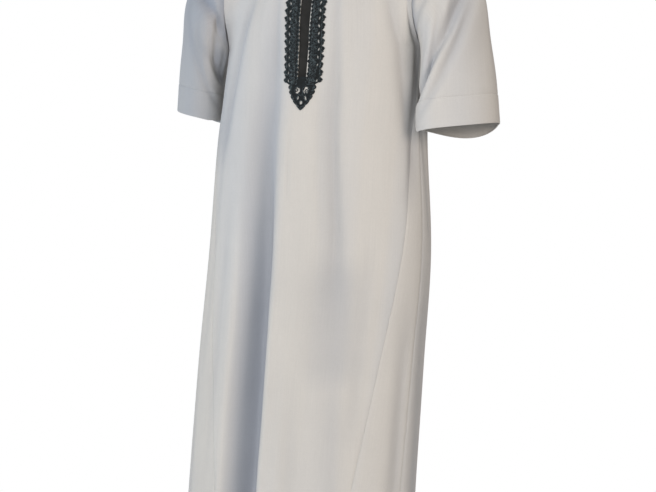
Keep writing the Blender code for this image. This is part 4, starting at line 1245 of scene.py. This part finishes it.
class BandCords:
    """The cords that are worked on a lace band: edge cords, curls, rings round the slots and picots."""

    def __init__(self, bed, side, reach):
        self.tubes = Tubes(bed)
        self.side = side
        self.reach = reach

    def lay(self, path, radius=CORD_RADIUS, spread_out=True, **more):
        """Lays a cord along a path that is stated for the wearer's left."""
        path = np.array(path, float)
        if spread_out:
            path[:, 0] = spread(path[:, 0], path[:, 1], self.reach)
        path[:, 0] *= self.side
        self.tubes.add(path, radius, **more)

    def add_edges(self, bumps):
        """The cord on the scallops, the one beside it and the one inside the picots."""
        heights = np.linspace(LACE_TOP_INNER, LACE_END + 0.0006, 320)
        scallops = scalloped_edge(heights, bumps, self.reach) + 0.0010
        self.lay(stack(scallops, heights, LACE_FACE + 0.0001), spread_out=False)
        wave = 0.0006 * np.sin(heights * 900.0) + 0.0003 * np.sin(heights * 2100.0)
        self.lay(stack(band_inner(heights) + 0.0042 + wave, heights, LACE_FACE))
        heights = np.linspace(LACE_TOP_OUTER - 0.0008, LACE_END + 0.0080, 240)
        wave = 0.0006 * np.sin(heights * 760.0 + 1.0)
        self.lay(stack(LACE_NOTCH - 0.0012 + wave, heights, LACE_FACE + 0.0001), 0.0011)

    def add_curls(self):
        """Two columns of curls and rings."""
        pitch = (LACE_END - LACE_TOP_OUTER) / CURLS
        for column, across in enumerate(CURL_COLUMNS):
            for step in range(CURLS):
                chance = RANDOM.random(6)
                height = LACE_TOP_OUTER + (step + 0.5 + 0.5 * column) * pitch
                if height > LACE_TOP_INNER - 0.002 and column == 0 or height < LACE_END + 0.0035:
                    continue
                centre = (across + mix(-0.0010, 0.0010, chance[0]), height + mix(-0.0010, 0.0010, chance[1]))
                radius = mix(*CURL_RADII, chance[2])
                if chance[3] < 0.65:
                    way = 1 if (step + column) % 2 else -1
                    turns = mix(0.9, 1.3, chance[4])
                    path = scroll_path(centre, radius, turns, LACE_FACE, chance[5] * 6.28, way)
                    path[:, 2] += 0.0006 * np.sin(np.linspace(0.0, np.pi, len(path)))
                    self.lay(path, np.linspace(0.0014, 0.0010, len(path)))
                else:
                    stretch = mix(1.0, 1.4, chance[4])
                    path = ring_path(centre, radius * 0.8, LACE_FACE, 12, stretch, chance[5] * 3.0)
                    self.lay(path, 0.00125, closed=True)

    def add_slot_rings(self, slots):
        """A fine cord round each slot."""
        for centre, length, width, slant in slots:
            stretch = (length + 0.0018) / (width + 0.0018)
            turn = math.radians(90.0 + slant)
            path = ring_path(centre, width / 2 + 0.0009, LACE_FACE, 16, stretch, turn)
            self.lay(path, 0.00075, False, sides=5, closed=True)

    def add_picots(self):
        """A bent cord along each picot's teeth, and a short one below it."""
        pitch = abs(LACE_PITCH)
        for repeat in range(LACE_REPEATS):
            chance = RANDOM.random(4)
            height = LACE_TOP_OUTER + LACE_PITCH * (repeat + 0.42)
            if height < LOWEST_PICOT:
                continue
            tip = LACE_TOOTH + mix(-0.0016, 0.0006, chance[0])
            rise = mix(-0.02, 0.16, chance[1])
            upper, lower = mix(LACE_NOTCH, tip, 0.5), mix(LACE_NOTCH, tip, 0.55)
            across = np.array([LACE_NOTCH - 0.0018, upper, tip, lower, LACE_NOTCH - 0.0012])
            steps = np.array([0.30, 0.20, rise, -0.16, -0.30]) * pitch
            radii = [0.0010, 0.0012, 0.0008, 0.0012, 0.0010]
            self.lay(stack(across, height + steps, LACE_FACE - 0.0003), radii)
            if height < LOWEST_HOOK:
                continue
            middle = mix(LACE_NOTCH, tip, mix(0.45, 0.75, chance[2]))
            across = np.array([LACE_NOTCH - 0.0010, middle, LACE_NOTCH + 0.0004])
            steps = np.array([-0.20, -0.36, -0.52]) * pitch
            self.lay(stack(across, height + steps, LACE_FACE - 0.0003), [0.0010, 0.0009, 0.0008])


def add_band(bed, name, side, reach, ground_painted_shade_cloth, cord_cloth):
    """A lace band: its ground with slots, and the cords on it."""
    bumps = 0.55 + 0.75 * RANDOM.random(LACE_SCALLOPS)
    slots = band_slots(side, reach)
    openings = [slot_outline(*slot) for slot in slots]
    ground = flat_lace(bed, name, band_outline(bumps, reach), openings, side < 0, ground_painted_shade_cloth)
    cords = BandCords(bed, side, reach)
    cords.add_edges(bumps)
    cords.add_curls()
    cords.add_slot_rings(slots)
    cords.add_picots()
    return ground, cords.tubes.finish(name + "_cords", cord_cloth)


def finial_half(share):
    """Half the pointed piece's width at a share of its height from its upper edge."""
    return FINIAL_HALF_WIDTH * (1.0 - share**FINIAL_ROUNDNESS)


def finial_height(share):
    """The height at a share of the pointed piece's height from its upper edge."""
    return mix(FINIAL_TOP, FINIAL_TIP, share)


def finial_outline():
    """The pointed lace piece: a tongue between the bands and a full triangle with rounded scallops."""
    tongue = LACE_INNER_END - SEAM_GAP
    right = [(tongue, FINIAL_TONGUE_TOP), (tongue, FINIAL_TOP), (FINIAL_HALF_WIDTH, FINIAL_TOP)]
    for scallop in range(FINIAL_SCALLOPS):
        for step in range(1, 9):
            along = step / 8
            share = (scallop + along) / FINIAL_SCALLOPS
            bump = math.sin(math.pi * along) ** 0.7 if step < 8 else 0.0
            swell = FINIAL_SWELL * bump * (1.0 - 0.75 * share)
            right.append((finial_half(share) + swell, finial_height(share)))
    outline = right + [(-across, height) for across, height in reversed(right[:-1])]
    return [(across - FINIAL_SHIFT * (abs(across) == tongue), height) for across, height in outline]


def add_finial(bed, ground_painted_shade_cloth, cord_cloth):
    """The pointed lace piece that closes the slit, with its scrolls and cut openings."""
    bed = copy.copy(bed)
    bed.shift += FINIAL_SHIFT
    openings = []
    cords = Tubes(bed)
    for number, hole in enumerate(FINIAL_OPENINGS):
        centre = (hole.across, finial_height(hole.down))
        turn = math.radians(90.0 + hole.slant)
        edge = ring_path(centre, hole.width / 2, LACE_FACE, 24, hole.length / hole.width, turn)
        if number < SCROLL_OPENINGS:
            lobes = 0.24 * np.sin(3 * np.linspace(0.0, FULL_TURN, 24, endpoint=False) + number)
            edge[:, :2] += (edge[:, :2] - np.array(centre)) * lobes[:, None]
        openings.append([(across, height) for across, height, _ in edge])
        stretch = (hole.length + 0.0016) / (hole.width + 0.0016)
        rim = ring_path(centre, hole.width / 2 + 0.0008, LACE_FACE, 18, stretch, turn)
        cords.add(rim, 0.0009, closed=True)
        if number < SCROLL_OPENINGS:
            way = 1 if hole.across > 0 else -1
            inner = (centre[0] + 0.0017 * way, centre[1] + 0.0014 - 0.0030 * number)
            cords.add(scroll_path(inner, 0.0044, 1.15, LACE_FACE - 0.0004, 2.6 + number, way, 30), 0.0011)
    ground = flat_lace(bed, "lace_finial", finial_outline(), openings, False, ground_painted_shade_cloth)
    across, height = np.array(finial_outline()).T
    edge = stack(0.92 * across, height + 0.0010, LACE_FACE - 0.0001)
    cords.add(edge[height <= FINIAL_TOP])
    for scallop in range(2 * FINIAL_SCALLOPS):
        share = (scallop + 0.5) / (2 * FINIAL_SCALLOPS)
        for side in (1, -1):
            centre = (side * (finial_half(share) - 0.0016), finial_height(share))
            radius = 0.0024 * (1.0 - 0.35 * share)
            cords.add(scroll_path(centre, radius, 1.2, LACE_FACE + 0.0002, share * 9.0, side), sides=5)
    for share, half in ((0.40, 0.30), (0.88, 0.4)):
        reach = finial_half(share) * half
        across = np.linspace(-reach, reach, 40)
        height = finial_height(share) + 0.0014 * np.sin(across * 900.0)
        cords.add(stack(across, height, LACE_FACE + 0.0001))
    return ground, cords.finish("lace_finial_cords", cord_cloth)


def add_stitches(name, line, normals, material, closed=False):
    """A row of stitches along a line on the cloth: each is a small flattened prism."""
    if closed:
        line = np.concatenate([line, line[:1]])
        normals = np.concatenate([normals, normals[:1]])
    run = run_lengths(line, 0)
    starts = np.arange(0.0, run[-1] - STITCH_LENGTH, STITCH_LENGTH + STITCH_GAP)
    places = starts[:, None] + np.array(STITCH_PLACES)[None, :] * STITCH_LENGTH
    middle, away = (stack(*(np.interp(places, run, axis) for axis in rows.T)) for rows in (line, normals))
    away = unit(away)
    aside = np.cross(away, unit(np.gradient(middle, axis=1)))
    rise = np.array(STITCH_HEIGHTS)[None, :, None] * STITCH_HALF_WIDTH
    width = np.array(STITCH_WIDTHS)[None, :, None] * STITCH_HALF_WIDTH
    corners = []
    for way, up in STITCH_CORNERS:
        corners.append(middle + aside * width * way + away * (STITCH_LIFT + up * rise))
    rings = np.stack(corners, axis=2)
    index = np.arange(len(starts) * 16).reshape(-1, 4, 4)
    turned = np.roll(index, -1, axis=2)
    sides = np.stack([index[:, :-1], turned[:, :-1], turned[:, 1:], index[:, 1:]], axis=-1).reshape(-1, 4)
    polygons = np.concatenate([sides, index[:, 0, ::-1], index[:, 3]])
    return add_mesh(name, rings.reshape(-1, 3), polygons, material)


def new_material(name):
    """A material with nodes."""
    material = bpy.data.materials.new(name)
    material.use_nodes = True
    return material


class Graph:
    """A material's nodes, with short ways to add and join them."""

    def __init__(self, name):
        self.material = new_material(name)
        self.tree = self.material.node_tree
        self.cut = self.node("UVMap", "UV", uv_map="cut")
        self.space = self.node("TexCoord", "Object")

    def fill(self, node, inputs):
        """Sets a node's inputs, each to a value or to the output that it is joined to."""
        for socket, value in inputs.items():
            if isinstance(value, bpy.types.NodeSocket):
                self.tree.links.new(value, node.inputs[socket])
            else:
                node.inputs[socket].default_value = value

    def node(self, kind, output, inputs=None, **settings):
        """Adds a node with its inputs and settings, and gives one of its outputs."""
        node = self.tree.nodes.new("ShaderNode" + kind)
        for key, value in settings.items():
            setattr(node, key, value)
        self.fill(node, inputs or {})
        return node.outputs[output]

    def stretched(self, vector, scale, turn=0.0):
        """The coordinates multiplied by a scale and turned."""
        rotation = (0.0, 0.0, math.radians(turn))
        return self.node("Mapping", "Vector", {"Vector": vector, "Scale": scale, "Rotation": rotation})

    def noise(self, vector, scale, detail=2.0, roughness=0.5):
        """A noise texture's value."""
        inputs = {"Vector": vector, "Scale": scale, "Detail": detail, "Roughness": roughness}
        return self.node("TexNoise", "Fac", inputs)

    def wave(self, vector, period, direction, distortion):
        """Bands of a period in metres."""
        scale = FULL_TURN / (20.0 * period)
        inputs = {"Vector": vector, "Scale": scale, "Distortion": distortion, "Detail": 1.0}
        return self.node("TexWave", "Fac", inputs, wave_type="BANDS", bands_direction=direction)

    def cells(self, vector, scale):
        """A Voronoi texture's distance."""
        return self.node("TexVoronoi", "Distance", {"Vector": vector, "Scale": scale})

    def ramp(self, value, *stops):
        """Colours for a value: stops of (place, colour)."""
        result = self.node("ValToRGB", "Color", {"Fac": value})
        band = result.node.color_ramp.elements
        while len(band) < len(stops):
            band.new(0.5)
        for element, (where, colour) in zip(band, stops):
            element.position = where
            element.color = (*colour, 1.0)
        return result

    def grey(self, value, low, high, start=0.3, end=0.7):
        """A grey ramp between two levels."""
        return self.ramp(value, (start, (low, low, low)), (end, (high, high, high)))

    def times(self, result, *others):
        """Colours multiplied."""
        for other in others:
            inputs = {0: 1.0, 6: result, 7: other}
            result = self.node("Mix", 2, inputs, data_type="RGBA", blend_type="MULTIPLY")
        return result

    def product(self, first, second):
        """Two values multiplied."""
        return self.node("Math", "Value", {0: first, 1: second}, operation="MULTIPLY")

    def bump(self, height, distance, strength, below=None):
        """A bump from a height, on top of another one."""
        inputs = {"Height": height, "Distance": distance, "Strength": strength}
        if below:
            inputs["Normal"] = below
        return self.node("Bump", "Normal", inputs)

    def finish(self, colour, roughness, normal, sheen, sheen_tint=(1.0, 1.0, 1.0)):
        """Joins the results to the shader."""
        inputs = {
            "Base Color": colour, "Roughness": roughness, "Normal": normal, "Sheen Weight": sheen,
            "Sheen Roughness": 0.5, "Sheen Tint": (*sheen_tint, 1.0), "Specular IOR Level": 0.25,
        }
        self.fill(self.tree.nodes["Principled BSDF"], inputs)
        return self.material


def cloth_finish():
    """Light warm grey plain weave, with slubs down the warp, soft mottling and fine wrinkles, painted shade in its
    folds and by the armholes, and a painted highlight on its ridges.
    """
    graph = Graph("cloth")
    warp = graph.noise(graph.stretched(graph.cut, (900.0, 7.0, 1.0)), 1.0)
    weft = graph.noise(graph.stretched(graph.cut, (9.0, 800.0, 1.0)), 1.0)
    mottle = graph.noise(graph.space, 5.0, 3.0)
    nap = graph.noise(graph.space, 260.0)
    streak = graph.noise(graph.stretched(graph.cut, (9.0, 0.6, 1.0)), 1.0, 1.0)
    # The painted shading of folds, ridges and armholes, read from the cloth's attribute.
    tone = graph.node("Attribute", "Fac", attribute_name="fold_painted_shading")
    colour = graph.times(
        graph.ramp(mottle, (0.30, CLOTH_SHADE), (0.70, CLOTH_LIGHT)),
        graph.ramp(streak, (0.38, STREAK_COOL), (0.62, STREAK_WARM)),
        graph.ramp(tone, (0.0, RIDGE_PAINTED_HIGHLIGHT), (LEVEL_PAINTED_SHADING, LEVEL_PAINTED_SHADE), (1.0, TROUGH_PAINTED_SHADE)),
        graph.grey(warp, 0.955, 1.0), graph.grey(weft, 0.985, 1.0), graph.grey(nap, 0.97, 1.0),
    )
    weft_threads = graph.wave(graph.cut, WEAVE_PERIOD * 1.1, "Y", 0.6)
    threads = graph.product(graph.wave(graph.cut, WEAVE_PERIOD, "X", 0.6), weft_threads)
    normal = graph.bump(graph.noise(graph.space, 34.0, 3.0, 0.55), 0.0016, 0.40)
    normal = graph.bump(warp, 0.00012, 0.5, normal)
    normal = graph.bump(threads, 0.00006, 0.5, normal)
    return graph.finish(colour, graph.grey(nap, 0.80, 0.93), normal, 0.12)


def lace_finish(name, colours, roughness):
    """Black crochet with a blue-green cast and scattered pale specks; given the ground's colours it is painted darker,
    as painted shade between the cords.
    """
    graph = Graph(name)
    tone = graph.noise(graph.space, 210.0, 3.0)
    fuzz = graph.noise(graph.space, 2400.0)
    specks = graph.ramp(graph.cells(graph.space, 260.0), (0.05, SPECK_COLOUR), (0.14, (1.0, 1.0, 1.0)))
    base = graph.ramp(tone, *zip((0.36, 0.50, 0.64), colours))
    colour = graph.times(base, graph.grey(fuzz, 0.75, 1.0), specks)
    twist = graph.wave(graph.stretched(graph.space, (1.0, 0.0, 1.0), 35.0), 0.0011, "X", 4.0)
    normal = graph.bump(fuzz, 0.0002, 0.6, graph.bump(twist, 0.00025, 0.6))
    return graph.finish(colour, graph.grey(tone, roughness, roughness + 0.2), normal, 0.30, LACE_SHEEN)


def strip_finish():
    """Charcoal cloth with a fine rib down its length."""
    graph = Graph("strip")
    rib = graph.wave(graph.cut, RIB_PERIOD, "X", 0.8)
    slub = graph.noise(graph.stretched(graph.cut, (700.0, 40.0, 1.0)), 1.0, 3.0)
    tone = graph.noise(graph.space, 45.0, 3.0)
    shade = graph.ramp(tone, (0.30, STRIP_DARK), (0.70, STRIP_LIGHT))
    colour = graph.times(shade, graph.grey(rib, 0.55, 1.0, 0.1, 0.8), graph.grey(slub, 0.70, 1.0))
    normal = graph.bump(slub, 0.0002, 0.5, graph.bump(rib, 0.0004, 0.7))
    return graph.finish(colour, graph.grey(slub, 0.7, 0.9), normal, 0.25)


def thread_finish():
    """Sewing thread a shade darker than the cloth."""
    graph = Graph("thread")
    tone = graph.noise(graph.space, 900.0)
    colour = graph.ramp(tone, (0.30, THREAD_DARK), (0.70, THREAD_LIGHT))
    twist = graph.wave(graph.stretched(graph.space, (1.0, 1.0, 1.0), 40.0), 0.0005, "X", 1.0)
    return graph.finish(colour, graph.grey(tone, 0.5, 0.7), graph.bump(twist, 0.0001, 0.5), 0.1)


def ground_finish():
    """Pale matt floor."""
    material = new_material("floor")
    shader = material.node_tree.nodes["Principled BSDF"]
    shader.inputs["Base Color"].default_value = (0.86, 0.86, 0.86, 1.0)
    shader.inputs["Roughness"].default_value = 0.8
    return material


def one_shader_finish(name, kind, colour):
    """A material of one shader in one colour, for the studio."""
    material = new_material(name)
    nodes = material.node_tree.nodes
    nodes.remove(nodes["Principled BSDF"])
    shader = nodes.new(kind)
    shader.inputs["Color"].default_value = (*colour, 1.0)
    material.node_tree.links.new(shader.outputs[0], nodes["Material Output"].inputs["Surface"])
    return material


def stage_piece(name, shape, material, **settings):
    """A piece of the studio, made by one of bmesh's shapes."""
    mesh = bmesh.new()
    shape(mesh, **settings)
    data = bpy.data.meshes.new(name)
    mesh.to_mesh(data)
    mesh.free()
    data.materials.append(material)
    return add_object(name, data)


def aim(thing, target, azimuth, elevation, distance):
    """Stands a thing at a distance from its target, turned to it. Azimuth 0 is the front and 90 the left."""
    turn = math.radians(azimuth)
    lift = math.radians(elevation)
    away = Vector((math.sin(turn) * math.cos(lift), -math.cos(turn) * math.cos(lift), math.sin(lift)))
    thing.location = Vector(target) + away * distance
    thing.rotation_euler = away.to_track_quat("Z", "Y").to_euler()


def add_stage():
    """A round pale floor, a white backdrop only for the camera and a gel that shades the right sleeve."""
    circle = {"cap_ends": True, "segments": 96, "radius": FLOOR_RADIUS}
    floor = stage_piece("floor", bmesh.ops.create_circle, ground_finish(), **circle)
    floor.location = (0.0, 0.0, FLOOR)
    white = one_shader_finish("backdrop", "ShaderNodeEmission", (1.0, 1.0, 1.0))
    ball = {"subdivisions": 4, "radius": BACKDROP_RADIUS}
    backdrop = stage_piece("backdrop", bmesh.ops.create_icosphere, white, **ball)
    backdrop.data.flip_normals()
    for ray in ("diffuse", "glossy", "transmission", "volume_scatter", "shadow"):
        setattr(backdrop, "visible_" + ray, False)
    gel = one_shader_finish("flag", "ShaderNodeBsdfTransparent", FLAG_COLOUR)
    flag = stage_piece("flag", bmesh.ops.create_grid, gel, x_segments=1, y_segments=1, size=0.5)
    aim(flag, FLAG_AIM, LIGHTS[0].azimuth, LIGHTS[0].elevation, FLAG_DISTANCE)
    flag.scale = (*FLAG_SIZE, 1.0)
    flag.visible_camera = False
    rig.stage(floor, backdrop, flag)


def add_lights():
    """Soft studio lights: a white key in front, a warm fill on the right and a cool one on the left."""
    for light in LIGHTS:
        data = bpy.data.lights.new(light.name, "AREA")
        data.shape = "DISK"
        data.size = light.size
        data.energy = light.energy
        data.color = light.colour
        aim(add_object(light.name, data), LIGHT_AIM, light.azimuth, light.elevation, light.distance)
    world = bpy.data.worlds.new("world")
    world.use_nodes = True
    background = world.node_tree.nodes["Background"]
    background.inputs["Color"].default_value = (*AMBIENT_COLOUR, 1.0)
    background.inputs["Strength"].default_value = AMBIENT
    bpy.context.scene.world = world


def add_camera():
    """The camera that the photo was taken with, as fitted to it."""
    data = bpy.data.cameras.new("camera")
    data.sensor_width = 36.0
    data.lens = CAMERA_LENS
    camera = add_object("camera", data)
    aim(camera, CAMERA_AIM, CAMERA_AZIMUTH, CAMERA_ELEVATION, CAMERA_DISTANCE)
    bpy.context.scene.camera = camera
    bpy.context.scene.view_settings.view_transform = "Standard"


def hem_line():
    """The body hem's stitch line round the whole robe, with its normals."""
    angle = np.linspace(0.0, 360.0, HEM_LINE_POINTS)[:-1]
    height = np.full(angle.shape, HEM + BODY_HEM_DEPTH)
    points = body_below(angle, height)
    above = body_below(angle, height + 0.002)
    ahead = np.roll(points, -1, axis=0) - np.roll(points, 1, axis=0)
    normals = unit(np.cross(points - above, ahead))
    return points - normals * 0.0003, normals


def main():
    """Dresses the robe, and states each piece's cut and how it is held."""
    cloth = cloth_finish()
    cord_cloth = lace_finish("lace_cord", CORD_COLOURS, 0.36)
    # The ground's colours are painted darker than the cords', as painted shade between them.
    ground_painted_shade_cloth = lace_finish("lace_ground", GROUND_BLACK_AND_PAINTED_SHADE, 0.70)
    strip_cloth = strip_finish()
    thread = thread_finish()
    bed = Bed()
    sides = {"left": 1, "right": -1}
    panels = ["front", "back"]
    front = add_front(cloth)
    back = add_back(cloth)
    sheets = []
    for name, side in sides.items():
        sheets.append((add_gore("side_gore_" + name, side, cloth), GORE_CUT, "hung", panels, []))
    for name, sleeve in SLEEVES.items():
        piece, line, normals = add_sleeve(name, sleeve, cloth)
        seam = place(add_stitches("stitches_sleeve_" + name, line, normals, thread, closed=True))
        sheets.append((piece, SLEEVE_CUTS[name], "hung", panels, [seam]))
    neckband, line, normals = add_neckband(cloth)
    seam = place(add_stitches("stitches_neckband", line, normals, thread))
    sheets.append((neckband, NECKBAND_CUT, "folded", panels, [seam]))
    sheets.append((add_strip(bed, strip_cloth), STRIP_CUT, "hung", ["front"], []))
    seam = place(add_stitches("stitches_hem", *hem_line(), thread, closed=True))
    sheets.insert(0, (back, BACK_CUT, "hung", ["front"], []))
    sheets.insert(0, (front, FRONT_CUT, "hung", ["back"], [seam]))
    for name, side in sides.items():
        ground, cords = add_band(bed, "lace_band_" + name, side, BAND_REACHES[name], ground_painted_shade_cloth, cord_cloth)
        place(ground, "lace_band_" + name, slot="lace")
        sheets.append((ground, BAND_CUT, "laid", ["front"], [place(cords, slot="lace")]))
    finial, cords = add_finial(bed, ground_painted_shade_cloth, cord_cloth)
    place(finial, "lace_finial", slot="lace")
    sheets.append((finial, FINIAL_CUT, "laid", ["front"], [place(cords, slot="lace")]))
    for piece, cut, held, under, on_it in sheets:
        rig.sheet(piece, flat=cut.flat, area=cut.area, held=held, rests_on=under, with_pieces=on_it)
    add_stage()
    add_lights()
    add_camera()


main()
VISUAL_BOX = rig.bounds()
with open("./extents.json", "w") as out:
    json.dump({"cad": np.array(CAD_BOX).tolist(), "visual": np.array(VISUAL_BOX).tolist()}, out)
